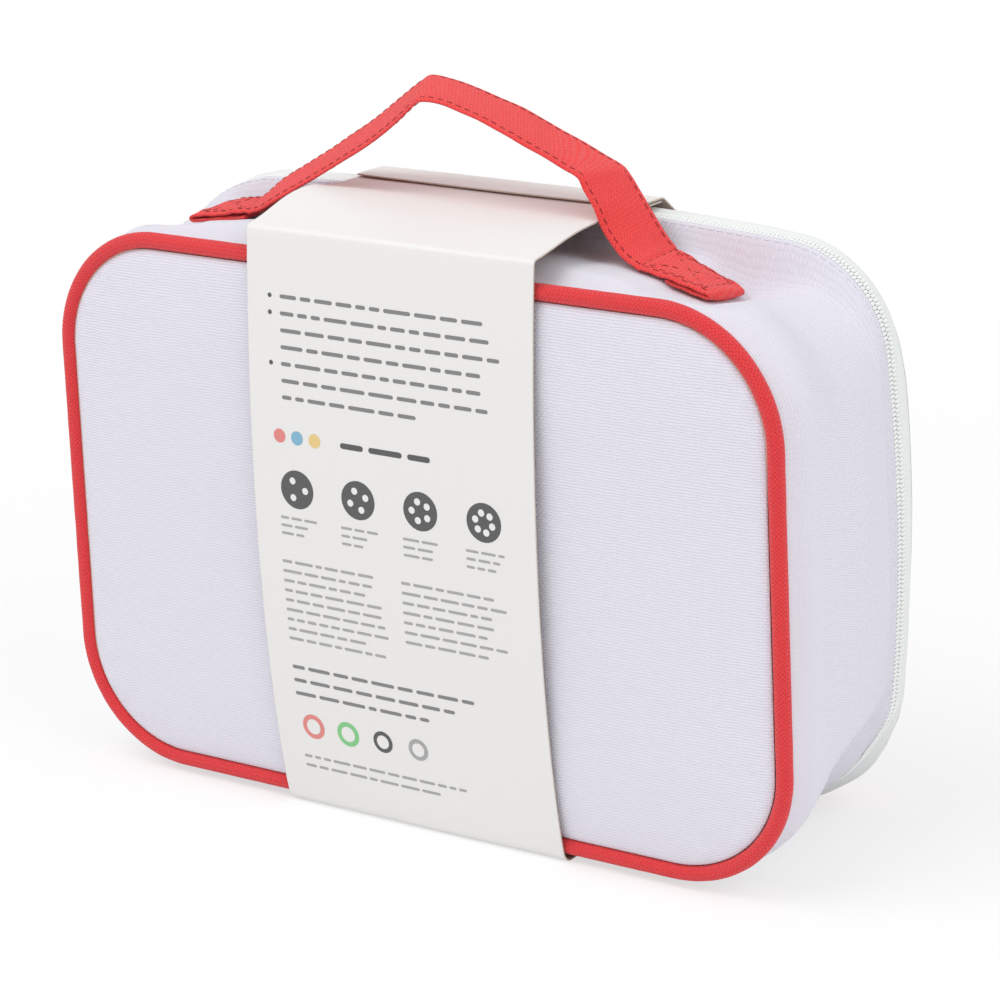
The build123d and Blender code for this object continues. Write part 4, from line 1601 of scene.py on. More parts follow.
    def build_stitches(self, line: Array) -> None:
        """Lock stitches along both edges, and the crossed boxes on the two sewn ends.

        Args:
            line: N by 6 samples of the strap's two edges.
        """
        runs = []
        marks = self.marks(line)
        first, crease_left, crease_right, last = marks
        grid, normals = self.surface(line, np.array([0.0, 1.0]))
        normals = normals.mean(axis=1) * math.copysign(1.0, normals[len(line) // 2, 0, 2])
        for side in (1, -1):
            for share in (self.edge_stitch, 1 - self.edge_stitch):
                runs.append((first, last, share, share, side))
        for start, end in ((first + 3, crease_left - 2), (crease_right + 2, last - 3)):
            for share_in, share_out in ((0.14, 0.86), (0.86, 0.14), (0.14, 0.14), (0.86, 0.86)):
                runs.append((start, end, share_in, share_out, 1))
        for station in (first + 3, crease_left, crease_right, last - 3):
            runs.append((station, station, 0.08, 0.92, 1))
        seats = []
        for start, end, share_in, share_out, side in runs:
            stations = np.linspace(start, end, 60)
            shares = np.linspace(share_in, share_out, 60)
            samples = at_distances(line, np.arange(len(line)), stations)
            out = normals[stations.astype(int)] * side
            track = samples[:, :3] + (samples[:, 3:] - samples[:, :3]) * shares[:, None]
            lift = 0.25 * (1 - (2 * shares - 1) ** 2) + self.relief(track, stations, marks)
            track = track + out * (self.thickness / 2 + lift * side - 0.02)[:, None]
            wanted = np.arange(self.stitch_pitch / 2, arc_lengths(track)[-1], self.stitch_pitch)
            seats.append(seats_along(track, out, wanted))
        thread = bead("handle_thread", 2.1, 0.5, 0.22, 0.3)
        places, ways, tops = (np.vstack(part) for part in zip(*seats))
        row = Row("handle_stitches", thread, seed=3)
        self.lean(row.made(places, ways, tops, Finish.WEBBING_THREAD))

    def seat(self, x: Array, y: Array) -> tuple[Array, Array]:
        """Underside of the nearer sewn end above a point, and the point's distance from that end.

        Args:
            x: X of the points.
            y: Y of the points.

        Returns:
            Height of the underside, and distance outside the end's footprint.
        """
        bends = self.edges()
        best = np.full(len(x), 1e9)
        height = np.full(len(x), 1e9)
        for inner, tip, doubled, steep in (
            (bends[2], bends[0], 0.05, 2.2), (bends[-4], bends[-1], 0.3, 1.0),
        ):
            low, high = (inner[1] + tip[1]) / 2, (inner[4] + tip[4]) / 2
            across = np.clip((y - low) / (high - low), 0, 1)
            inner_x, inner_z = mix(inner[0], inner[3], across), mix(inner[2], inner[5], across)
            tip_x, tip_z = mix(tip[0], tip[3], across), mix(tip[2], tip[5], across)
            along = (x - inner_x) / (tip_x - inner_x)
            held = np.clip(along, 0, 1.06)
            past_x = np.abs(along - held) * np.abs(tip_x - inner_x)
            past_y = np.maximum(np.maximum(low - y, y - high), 0)
            away = np.hypot(past_x * steep, past_y)
            stack = mix(0.55, 1.5, smooth((held - doubled) / 0.25)) * self.thickness
            under = mix(inner_z, tip_z, held) - (stack + self.ply_gap + 0.15)
            closer = away < best
            best = np.where(closer, away, best)
            height = np.where(closer, under, height)
        return height, best


# ---- The soft shell ----
@dataclass
class Shell:
    """The gusset, hinge gusset and lid border with their padding, linings and topstitching."""

    shape: CaseShape
    handle: Handle
    cover: float = 0.8
    padding: float = 4.0
    lining: float = 0.5
    density: float = 1.5
    stitch_pitch: float = 3.0
    stitch_y: float = 16.0
    lid_stitch_y: float = 30.4
    gusset_start_y: float = -36.3
    gusset_lining_end_y: float = 13.7
    hinge_start_y: float = -36.0
    hinge_lining_start_y: float = -35.2
    hinge_padding: float = 1.6
    hinge_thins_y: float = 22.0
    border_fold: float = 0.75
    border_lining: Place = (1.7, 2.2)

    def relief(self, points: Array, normals: Array, y: float) -> Array:
        """How far the filled, handled cloth stands out of its even shape.

        Args:
            points: N by 3 places on the even face.
            normals: N by 3 outward normals.
            y: Their station.

        Returns:
            N by 3 moved places.
        """
        rear, edge = self.shape.body_rear_y, self.shape.body_edge_y
        free = float(smooth((y - rear) / 9.0) * smooth((edge - y) / 5.0))
        rear_fade = math.exp(-max(y - rear, 0.0) / 5.0) * float(smooth((y - rear + 1.2) / 2.5))
        front_fade = math.exp(-max(edge - y, 0.0) / 4.0) * float(smooth((edge - y) / 2.0))
        corner = np.abs(normals[:, 0] * normals[:, 2]) * 2
        gathers = unevenness(points * np.array([1.0, 0.12, 1.0]), 8.0, 61) * (0.25 + corner)
        broad = unevenness(points, 62.0, 62) * 0.7 + unevenness(points, 24.0, 63) * 0.22
        amount = 0.22 * gathers * (rear_fade + 0.6 * front_fade) + broad * free
        moved = points + normals * amount[:, None]
        if y >= edge:
            return self.shape.settled(points, normals, y)
        crease = 1.0 * math.exp(-(((y - rear + 0.3) / 0.8) ** 2))
        moved = self.shape.settled(moved, normals, y) - normals * crease
        return self.press_deck(moved, y)

    def press_deck(self, points: Array, y: float) -> Array:
        """The deck gives way under the two sewn ends of the handle.

        Args:
            points: N by 3 places.
            y: Their station.

        Returns:
            N by 3 moved places.
        """
        top = points[:, 2] > 120
        under, away = self.handle.seat(points[:, 0], points[:, 1])
        limit = under - 0.5 + 0.22 * np.maximum(away - 0.5, 0)
        gap = points[:, 2] - limit
        soft = 0.5 * (gap + np.sqrt(gap * gap + 2.0)) - 0.12
        ease = float(smooth((y + 35.5) / 9) * smooth((self.shape.body_edge_y - 0.4 - y) / 8.0))
        drop = np.where(top & (soft > 0), soft, 0.0) * ease
        moved = points.copy()
        moved[:, 2] -= drop
        return moved

    def wall(
        self, outline: Callable[[float], Outline], stations: Array, outer: Callable[[float], float],
        inner: Callable[[float], float], moved: bool,
    ) -> MeshSketch:
        """A ply that runs up the sides and over the top, between the two cross seams.

        Args:
            outline: Outline of the even face at a station.
            stations: Stations from the rear to the front.
            outer: Depth of the ply's outer face at a station.
            inner: Depth of its inner face at a station.
            moved: Whether the cloth's relief applies.

        Returns:
            The closed sketch.
        """
        grids = [[], []]
        places = []
        for y in stations:
            points, normals = outline(float(y)).run(
                self.shape.seam_right_x, self.shape.seam_left_x, self.density, closed=False,
            )
            line = at_station(points, y)
            out = at_station(normals, 0.0)
            even = (self.relief if moved else self.shape.settled)(line, out, float(y))
            for grid, depth in zip(grids, (outer(float(y)), inner(float(y)))):
                grid.append(even - out * depth)
            length = arc_lengths(points)
            places.append(np.column_stack([np.full(len(points), y), length - length[-1] / 2]))
        return shell(*grids, places, wrap=False)

    def body_stations(self, start: float, count: int) -> Array:
        """Stations of the gusset, closer together at its two seams.

        Args:
            start: The first one.
            count: How many.

        Returns:
            The stations.
        """
        share = np.linspace(0, 1, count)
        eased = mix(share, smooth(share), 0.55)
        return mix(start, self.shape.body_edge_y, eased)

    def body_outline(self, y: float) -> Outline:
        """Outline of the gusset, which also reaches into the rear seam."""
        return self.shape.body(max(y, self.shape.body_rear_y))

    def build_gusset(self) -> None:
        """The padded gusset and its lining."""
        wall = self.wall(
            self.body_outline, self.body_stations(self.gusset_start_y, 50),
            lambda y: 0.0, lambda y: self.padding, moved=True,
        )
        made = wall.made("gusset_cloth", Finish.GUSSET_CLOTH)
        dress(made, "case", ("gusset_cover", "gusset_foam"))
        inner = self.padding + 0.1
        stations = np.linspace(self.shape.body_rear_y + 0.2, self.gusset_lining_end_y, 24)
        lined = self.wall(
            self.body_outline, stations, lambda y: inner, lambda y: inner + self.lining, moved=True,
        )
        made = lined.made("gusset_lining_cloth", Finish.LINING)
        dress(made, "case", ("gusset_lining",))

    def strip(self, stations: Array, outer: Callable, inner: Callable) -> MeshSketch:
        """A ply of the bottom strip between the two cross seams.

        Args:
            stations: Stations from the rear to the front.
            outer: Depth of its lower face at a station.
            inner: Depth of its upper face.

        Returns:
            The closed sketch.
        """
        x = np.linspace(self.shape.seam_left_x + 0.5, self.shape.seam_right_x - 0.5, 60)
        grids, places = [[], []], []
        for y in stations:
            bottom = self.shape.hinge_bottom(max(float(y), self.shape.body_rear_y))
            line = np.column_stack([x, np.full(len(x), y), np.full(len(x), bottom)])
            end = np.minimum(x - x[0], x[-1] - x)
            pucker = 0.16 * unevenness(line, 7.0, 71) * np.exp(-end / 5.0)
            for grid, depth in zip(grids, (outer(float(y)), inner(float(y)))):
                lifted = line.copy()
                lifted[:, 2] += depth + np.abs(pucker)
                grid.append(lifted)
            places.append(np.column_stack([np.full(len(x), y), x]))
        return shell(*grids, places, wrap=False)

    def build_hinge(self) -> None:
        """The bottom strip that joins body and lid, with its lining and thinned padding."""
        front = self.shape.hinge_front_y
        stations = np.linspace(self.hinge_start_y, front, 44)

        def padding(y: float) -> float:
            """Depth of the padding's inner face, thin where the strip folds."""
            share = smooth((y - self.hinge_thins_y) / 5.0)
            return float(mix(self.padding, self.hinge_padding, share))

        strip = self.strip(stations, lambda y: 0.0, padding)
        made = strip.made("hinge_gusset_cloth", Finish.GUSSET_CLOTH)
        dress(made, "case", ("hinge_cover", "hinge_foam"))
        strip = self.strip(
            np.linspace(self.hinge_lining_start_y, front, 40),
            lambda y: padding(y) + 0.1,
            lambda y: padding(y) + 0.1 + self.lining,
        )
        made = strip.made("hinge_lining_cloth", Finish.LINING)
        dress(made, "case", ("hinge_lining",))

    def build_lid_border(self) -> None:
        """The lid's border cloth and its lining."""
        shape = self.shape
        stations = mix(shape.widest_y, shape.lid_front_y + 0.9, np.linspace(0, 1, 16) ** 0.85)

        def surface(y: float) -> float:
            """Depth of the border's outer face, which is folded flat on the zip tape."""
            return self.border_fold * (1 - smooth((y - shape.widest_y) / 5.0))

        wall = self.wall(
            shape.lid, stations, surface, lambda y: self.cover + surface(y) / 4, moved=False,
        )
        made = wall.made("lid_border_cloth", Finish.GUSSET_CLOTH)
        dress(made, "lid", ("lid_border_cover",))
        front = np.linspace(shape.widest_y, shape.lid_front_y, 12)
        stations = np.concatenate([[22.9, 25.0], front])
        outer, inner = self.border_lining
        wall = self.wall(shape.lid, stations, lambda y: outer, lambda y: inner, moved=False)
        made = wall.made("lid_border_lining_cloth", Finish.LINING)
        dress(made, "lid", ("lid_border_lining",))

    def build_topstitch(self) -> None:
        """Rows of stitches beside the zip, on the gusset and on the lid border."""
        shape = self.shape
        for name, body, y, outline, moved in (
            ("gusset_topstitch", "case", self.stitch_y, self.body_outline, True),
            ("lid_topstitch", "lid", self.lid_stitch_y, shape.lid, False),
        ):
            points, normals = outline(y).run(
                shape.seam_right_x - 2, shape.seam_left_x + 2, 3.0, closed=False,
            )
            line = at_station(points, y)
            out = at_station(normals, 0.0)
            line = (self.relief if moved else shape.settled)(line, out, y)
            wanted = np.arange(1.5, arc_lengths(line)[-1] - 1.5, self.stitch_pitch)
            seats = seats_along(line, out, wanted)
            thread = bead(f"{name}_thread", 2.3, 0.38, 0.2, 0.3)
            dress(Row(name, thread, seed=5).made(*seats, Finish.PALE_THREAD), body)


# ---- Zip ----
@dataclass
class Zip:
    """The closed zip: two tapes, each with its coil of nylon teeth."""

    shape: CaseShape
    pitch: float = 1.28
    tape_depth: float = 0.95
    tape: float = 0.6
    coil_height: float = 0.75
    coil_width: float = 2.5
    head_overlap: float = 0.22
    body_tape: Place = (14.15, 19.65)
    lid_tape: Place = (19.95, 28.2)

    def band(
        self, name: str, body: str, node: str, start_y: float, end_y: float,
        outline: Callable[[float], Outline], place: Callable[[Array, Array, float], Array],
    ) -> None:
        """One tape.

        Args:
            name: Name of the piece.
            body: Body that it rides on.
            node: Packed tape that it stands for.
            start_y: Its rear edge.
            end_y: Its front edge.
            outline: Outline of the case's even face at a station.
            place: Moves places of the even shape to those of the used case.
        """
        outer, inner, places = [], [], []
        for y in np.linspace(start_y, end_y, 9):
            points, normals = outline(float(y)).run(
                self.shape.seam_right_x, self.shape.seam_left_x, 1.5, closed=False,
            )
            line = at_station(points, y)
            out = at_station(normals, 0.0)
            soft = 0.05 * unevenness(line, 13.0, 81)
            line = place(line, out, float(y))
            outer.append(line - out * (self.tape_depth + soft)[:, None])
            inner.append(line - out * (self.tape_depth + self.tape + soft)[:, None])
            places.append(np.column_stack([np.full(len(points), y), arc_lengths(points)]))
        made = shell(outer, inner, places, wrap=False).made(name, Finish.ZIP_TAPE)
        dress(made, body, (node,))

    def teeth(self, name: str, body: str, node: str, side: int, item: Object) -> None:
        """One side of the coil, its heads between the other side's heads.

        Args:
            name: Name of the piece.
            body: Body that it rides on.
            node: Packed coil that it stands for.
            side: -1 for the body's side and 1 for the lid's.
            item: One turn of the coil.
        """
        points, normals = self.shape.zip_line.run(
            self.shape.seam_right_x - 1, self.shape.seam_left_x + 1, 5.0, closed=False,
        )
        line = at_station(points, 0.0)
        out = at_station(normals, 0.0)
        start = self.pitch * (0.75 + 0.25 * side)
        wanted = np.arange(start, arc_lengths(line)[-1] - self.pitch, self.pitch)
        spots, _, facing = seats_along(line, out, wanted)
        raised = self.coil_height / 2 - self.tape_depth
        spots = self.shape.settled(spots + facing * raised, facing, self.shape.zip_y)
        reach = self.coil_width + self.head_overlap
        spots[:, 1] = self.shape.zip_y + side * (reach / 2 - self.head_overlap + 0.15)
        along = np.tile([0.0, float(side), 0.0], (len(spots), 1))
        made = Row(name, item, seed=9, spread=0.01).made(spots, along, facing, Finish.COIL)
        dress(made, body, (node,))

    def build(self, soft: Shell) -> None:
        """Tapes, coils and the material of the sliders and pulls, on the soft shell.

        Args:
            soft: The soft shell that the zip is sewn to.
        """
        edge = self.shape.body_edge_y
        self.band(
            "zip_tape_body_cloth", "case", "zip_tape_body", *self.body_tape,
            lambda y: self.shape.body(min(y, edge)), soft.relief,
        )
        self.band(
            "zip_tape_lid_cloth", "lid", "zip_tape_lid", *self.lid_tape,
            self.shape.lid, self.shape.settled,
        )
        reach = self.coil_width + self.head_overlap
        tooth = bead("zip_tooth", reach, self.pitch, self.coil_height, 0.85)
        self.teeth("zip_coil_body_teeth", "case", "zip_coil_body", -1, tooth)
        self.teeth("zip_coil_lid_teeth", "lid", "zip_coil_lid", 1, tooth)
        for node in ("zip_slider_upper", "zip_slider_lower", "zip_pull_upper", "zip_pull_lower"):
            keep_node(node, Finish.ENAMEL)


# ---- Card sleeve ----
class Ink(Enum):
    """Inks of the plain print on the sleeve."""

    DARK = Finish.INK_DARK
    GREY = Finish.INK_GREY
    PALE = Finish.INK_PALE
    RED = Finish.INK_RED
    BLUE = Finish.INK_BLUE
    GOLD = Finish.INK_GOLD
    GREEN = Finish.INK_GREEN
    WHITE = Finish.CARD


@dataclass
class Sleeve:
    """The card sleeve: a wrap under, behind and over the case, and a folding front."""

    left_x: float = -48.5
    right_x: float = 48.5
    card: float = 0.5
    coat: float = 0.12
    fold_radius: float = 1.5
    foot_radius: float = 3.2
    print_rise: float = 0.04
    foot_slip: float = 4.1
    lift_left: float = 2.8
    lift_right: float = 1.3
    lift_reach: float = 47.0
    arch: float = 0.35
    bottom_front_y: float = 40.7
    tongue: float = 1.2
    notch_x: float = 36.0
    rear_foot: Place = (-41.0, 0.25)
    rear_bow: Place = (-44.9, 92.0)
    rear_fold: Place = (-40.6, 176.2)
    crest: Place = (-8.0, 179.2)
    shoulder: Place = (26.6, 178.0)
    front_foot: Place = (41.25, 0.8)
    front_bow: Place = (42.6, 85.0)
    chamfer: Place = (41.25, 168.0)
    front_shoulder: Place = (27.6, 178.9)
    flap_edge: Place = (13.6, 179.35)

    def slipped(self, z: Array | float) -> Array | float:
        """How far the used sleeve has slid to the right at a height, most at its foot."""
        return self.foot_slip * np.exp(-np.maximum(z, 0.0) / 45.0)

    def wrap_line(self) -> Array:
        """Y and Z of the wrap's middle, from the bottom panel's front edge to the top panel's.

        Returns:
            N by 2 places.
        """
        foot, fold = np.array(self.rear_foot), np.array(self.rear_fold)
        points = [np.array([self.bottom_front_y - 3.0 * k, foot[1]]) for k in range(26)]
        before, after = np.array([-38.0, foot[1]]), np.array([-41.4, 12.0])
        points += list(arc_corner(before, foot, after, self.foot_radius))
        heights = np.linspace(8.0, 173.0, 56)
        points += list(bowed(self.rear_foot, self.rear_bow, self.rear_fold, heights))
        points += list(arc_corner(points[-1], fold, np.array(self.crest), self.fold_radius))
        points += list(between(self.rear_fold, self.crest, np.linspace(0.1, 1.0, 10)))
        points += list(between(self.crest, self.shoulder, np.linspace(0.1, 1.0, 10)))
        line = np.array(points)
        arched = np.exp(-(((line[:, 0] - self.crest[0]) / 18) ** 2)) * (line[:, 1] > 170)
        line[:, 1] -= self.arch * arched
        return line

    def front_line(self) -> Array:
        """Y and Z of the front part's middle, from its foot to the flap's edge on the top panel.

        Returns:
            N by 2 places.
        """
        chamfer, shoulder, edge = map(np.array, (self.chamfer, self.front_shoulder, self.flap_edge))
        heights = np.linspace(self.front_foot[1], 163.5, 50)
        points = list(bowed(self.front_foot, self.front_bow, self.chamfer, heights))
        points += list(arc_corner(points[-1], chamfer, shoulder, 2 * self.fold_radius))
        points += list(between(self.chamfer, self.front_shoulder, np.linspace(0.25, 0.75, 5)))
        points += list(arc_corner(points[-1], shoulder, edge, 2 * self.fold_radius))
        points += list(between(self.front_shoulder, self.flap_edge, np.linspace(0.3, 1.0, 7)))
        return np.array(points)

    def board(self, name: str, line: Array, outside: int, notch: bool) -> Object:
        """A panel of card along a line: a white coat outside, and a brown core and back.

        Args:
            name: Name of the piece.
            line: N by 2 places of Y and Z along its middle.
            outside: 1 if the outside lies to the left of the line's way, -1 if to the right.
            notch: Bow the far edge and cut a small notch there.

        Returns:
            The object.
        """
        inside = np.linspace(self.left_x + 0.4, self.right_x - 0.4, 48)
        columns = np.concatenate([[self.left_x], inside, [self.right_x]])
        way = np.gradient(line, axis=0)
        way /= np.linalg.norm(way, axis=1, keepdims=True)
        out = np.column_stack([-way[:, 1], way[:, 0]]) * outside
        length = arc_lengths(line)
        rows, count = len(line), len(columns)
        place = np.stack([np.repeat(length, count), np.tile(columns, rows)], 1)
        warp = self.warp(place[:, 0], place[:, 1], length[-1]).reshape(rows, count)
        sketch = MeshSketch()
        grids = []
        for depth in (self.card / 2, self.card / 2 - self.coat, -self.card / 2):
            grid = np.zeros((len(line), len(columns), 3))
            grid[..., 0] = columns[None] + self.slipped(line[:, 1])[:, None]
            grid[..., 1:] = line[:, None] + out[:, None] * (depth + warp)[..., None]
            if notch:
                tongue = self.tongue * (1 - (columns / self.right_x) ** 2)
                tongue -= 0.8 * np.exp(-((columns - self.notch_x) / 1.6) ** 2)
                last = smooth((length - length[-1] + 12) / 12)
                grid[..., 1] -= last[:, None] * tongue[None] * 0.6
            else:
                share = np.clip((line[:, 0] - self.rear_fold[0]) / self.lift_reach, 0, 1)
                rise = np.sin(math.pi * share) ** 2
                rise *= smooth((line[:, 1] - 170) / 6)
                across = (columns - self.left_x) / (self.right_x - self.left_x)
                grid[..., 2] += rise[:, None] * mix(self.lift_left, self.lift_right, across)[None]
            grids.append(grid)
        numbers = [sketch.add(grid.reshape(-1, 3), place) for grid in grids]
        flip = outside < 0
        sketch.quads(numbers[0], rows, count, wrap=False, flip=not flip, mark=0)
        sketch.quads(numbers[2], rows, count, wrap=False, flip=flip, mark=1)
        for upper, lower, mark in ((numbers[0], numbers[1], 0), (numbers[1], numbers[2], 1)):
            rims = (
                [i * count for i in range(rows)],
                [(rows - 1) * count + j for j in range(count)],
                [i * count + count - 1 for i in reversed(range(rows))],
                [j for j in reversed(range(count))],
            )
            for rim in rims:
                edges = [upper + k for k in rim], [lower + k for k in rim]
                sketch.strip(*(edges[::-1] if flip else edges), wrap=False, mark=mark)
        return sketch.made(name, Finish.CARD, Finish.KRAFT)

    def warp(self, length: Array, x: Array, whole: float) -> Array:
        """How far the card stands off its even line.

        Args:
            length: Distance along the card's line.
            x: Place across it.
            whole: Length of the line.

        Returns:
            One distance for each place, none at the card's ends and edges.
        """
        flat = np.column_stack([length, x, np.zeros(len(x))])
        edge = np.clip((1 - np.abs(x) / self.right_x) * 6, 0, 1)
        ends = smooth(np.minimum(length, whole - length) / 12)
        return 0.16 * unevenness(flat, 95.0, 91) * edge * ends

    def rear_patch(self, corners: Array) -> Array:
        """Lays a flat outline of X and Z on the outside of the rear panel.

        Args:
            corners: N by 2 places.

        Returns:
            N by 3 places.
        """
        line = self.wrap_line()
        length = arc_lengths(line)
        rear = (line[:, 0] < -38.5) & (line[:, 1] > 4.0) & (line[:, 1] < 172.0)
        along = np.interp(corners[:, 1], line[rear, 1], length[rear])
        y = np.interp(corners[:, 1], line[rear, 1], line[rear, 0])
        stand = self.card / 2 + self.print_rise + self.warp(along, corners[:, 0], length[-1])
        x = corners[:, 0] + self.slipped(corners[:, 1])
        return np.column_stack([x, y - stand, corners[:, 1]])

    def bar(self, sketch: MeshSketch, left: float, right: float, low: float, high: float) -> None:
        """Adds a printed bar with rounded ends.

        Args:
            sketch: Takes the bar.
            left: Its left end.
            right: Its right end.
            low: Its lower edge.
            high: Its upper edge.
        """
        radius = (high - low) / 2
        middle = (high + low) / 2
        turns = np.linspace(-math.pi / 2, math.pi / 2, 7)
        cap = np.column_stack([np.cos(turns) * radius, np.sin(turns) * radius])
        right_end = cap + [right - radius, middle]
        left_end = -cap + [left + radius, middle]
        self.patch(sketch, np.vstack([right_end, left_end]))

    def disc(self, sketch: MeshSketch, x: float, z: float, radius: float, rise: int = 1) -> None:
        """Adds a printed disc.

        Args:
            sketch: Takes the disc.
            x: X of its middle.
            z: Z of its middle.
            radius: Its radius.
            rise: 2 on top of another print.
        """
        turns = np.linspace(0, 2 * math.pi, 28, endpoint=False)
        corners = np.column_stack([x + np.cos(turns) * radius, z + np.sin(turns) * radius])
        self.patch(sketch, corners, rise)

    def patch(self, sketch: MeshSketch, corners: Array, rise: int = 1) -> None:
        """Adds one printed face, given its outline in turning order seen from behind the case."""
        first = sketch.add(self.rear_patch(corners) - (0, self.print_rise * (rise - 1), 0), corners)
        sketch.face(tuple(first + k for k in range(len(corners))))

    def build_print(self) -> None:
        """A plain print without words or signs: text shown as bars, and simple discs and dots."""
        inks = {ink: MeshSketch() for ink in Ink}
        draw = np.random.default_rng(20)

        def text(ink: Ink, left: float, end: float, z: float, tall: float) -> None:
            """Adds a line of greeked words.

            Args:
                ink: Its ink.
                left: X of its start.
                end: X of its end.
                z: Its height.
                tall: Height of the bars.
            """
            x = left
            while x < end - tall * 2.5:
                word = float(draw.uniform(2.6, 8.0)) * tall
                self.bar(inks[ink], x, min(x + word, end), z - tall / 2, z + tall / 2)
                x += word + 1.1 * tall

        for line_number in range(7):
            z = 157.0 - 4.9 * line_number
            if line_number in (0, 1, 4):
                self.disc(inks[Ink.DARK], -40.5, z, 0.7)
            end = 39.0 - float(draw.uniform(0, 11)) - 24 * (line_number == 6)
            text(Ink.GREY, -37.0, end, z, 1.15)
        for k, ink in enumerate((Ink.RED, Ink.BLUE, Ink.GOLD)):
            self.disc(inks[ink], -38.4 + 6.2 * k, 116.0, 2.1)
        text(Ink.DARK, -17.0, 14.0, 116.0, 1.7)
        for k in range(4):
            x, z = -33.0 + 21.5 * k, 100.5
            self.disc(inks[Ink.DARK], x, z, 5.8)
            for turn in range(3 + k):
                angle = 2 * math.pi * (turn + 0.25 * k) / (3 + k)
                across, up = 2.9 * math.cos(angle), 2.9 * math.sin(angle)
                self.disc(inks[Ink.WHITE], x + across, z + up, 1.05, rise=2)
            for row in range(3):
                text(Ink.PALE, x - 6.5, x + 6.5 - 1.5 * row, 91.5 - 2.4 * row, 0.75)
        for left, rows in ((-40.0, 9), (2.0, 7)):
            for row in range(rows):
                end = left + 37.0 - float(draw.uniform(0, 9))
                text(Ink.PALE, left, end, 78.0 - 3.0 * row, 0.85)
        for row in range(3):
            text(Ink.GREY, -40.0, 24.0 - 7 * row, 45.0 - 4.2 * row, 1.1)
        for k, ink in enumerate((Ink.RED, Ink.GREEN, Ink.DARK, Ink.PALE)):
            radius = 3.9 if k < 2 else 3.4
            self.disc(inks[ink], -35.0 + 12.5 * k, 26.5, radius)
            self.disc(inks[Ink.WHITE], -35.0 + 12.5 * k, 26.5, radius * 0.62, rise=2)
        for row in range(2):
            text(Ink.PALE, -40.0, 20.0 - 9 * row, 16.5 - 3.0 * row, 0.85)
        for ink, sketch in inks.items():
            if sketch.size:
                made = sketch.made(f"sleeve_print_{ink.name.lower()}", ink.value)
                dress(made, "case")

    def build(self) -> None:
        """The wrap, the front part and the print."""
        made = self.board("sleeve_wrap_card", self.wrap_line(), outside=1, notch=False)
        dress(made, "case", ("sleeve_wrap",))
        made = self.board("sleeve_front_card", self.front_line(), outside=-1, notch=True)
        dress(made, "sleeve_front", ("sleeve_front",))
        self.build_print()


def between(start: Place, end: Place, shares: Array) -> Array:
    """Places at the given shares of the way from start to end."""
    return mix(np.array(start), np.array(end), shares[:, None])


def bowed(foot: Place, bow: Place, top: Place, z: Array) -> Array:
    """Places on a bowed panel of card.

    Args:
        foot: Y and Z of one point of its arc.
        bow: Its outermost point.
        top: A third point.
        z: Heights of the wanted places.

    Returns:
        Y and Z of the places.
    """
    first, middle, last = np.array(foot), np.array(bow), np.array(top)
    matrix = 2 * np.array([middle - first, last - first])
    values = np.array([middle @ middle - first @ first, last @ last - first @ first])
    centre = np.linalg.solve(matrix, values)
    radius = float(np.linalg.norm(first - centre))
    side = math.copysign(1.0, middle[0] - centre[0])
    reach = np.sqrt(np.maximum(radius**2 - (z - centre[1]) ** 2, 0.0))
    return np.column_stack([centre[0] + side * reach, z])


def arc_corner(before: Array, corner: Array, after: Array, radius: float) -> Array:
    """Points of a round corner between two straight runs.

    Args:
        before: A place before the corner.
        corner: The sharp corner.
        after: A place after it.
        radius: Radius of the bend.

    Returns:
        Seven places from one run to the other.
    """
    into = (before - corner) / np.linalg.norm(before - corner)
    onward = (after - corner) / np.linalg.norm(after - corner)
    half = math.acos(float(np.clip(into @ onward, -1, 1))) / 2
    middle = (into + onward) / np.linalg.norm(into + onward)
    centre = corner + middle * (radius / math.sin(half))
    start, end = (corner + way * (radius / math.tan(half)) for way in (into, onward))
    first = math.atan2(*(start - centre)[::-1])
    turn = (math.atan2(*(end - centre)[::-1]) - first + math.pi) % (2 * math.pi) - math.pi
    angles = first + np.linspace(0, turn, 7)
    return centre + np.column_stack([np.cos(angles), np.sin(angles)]) * radius


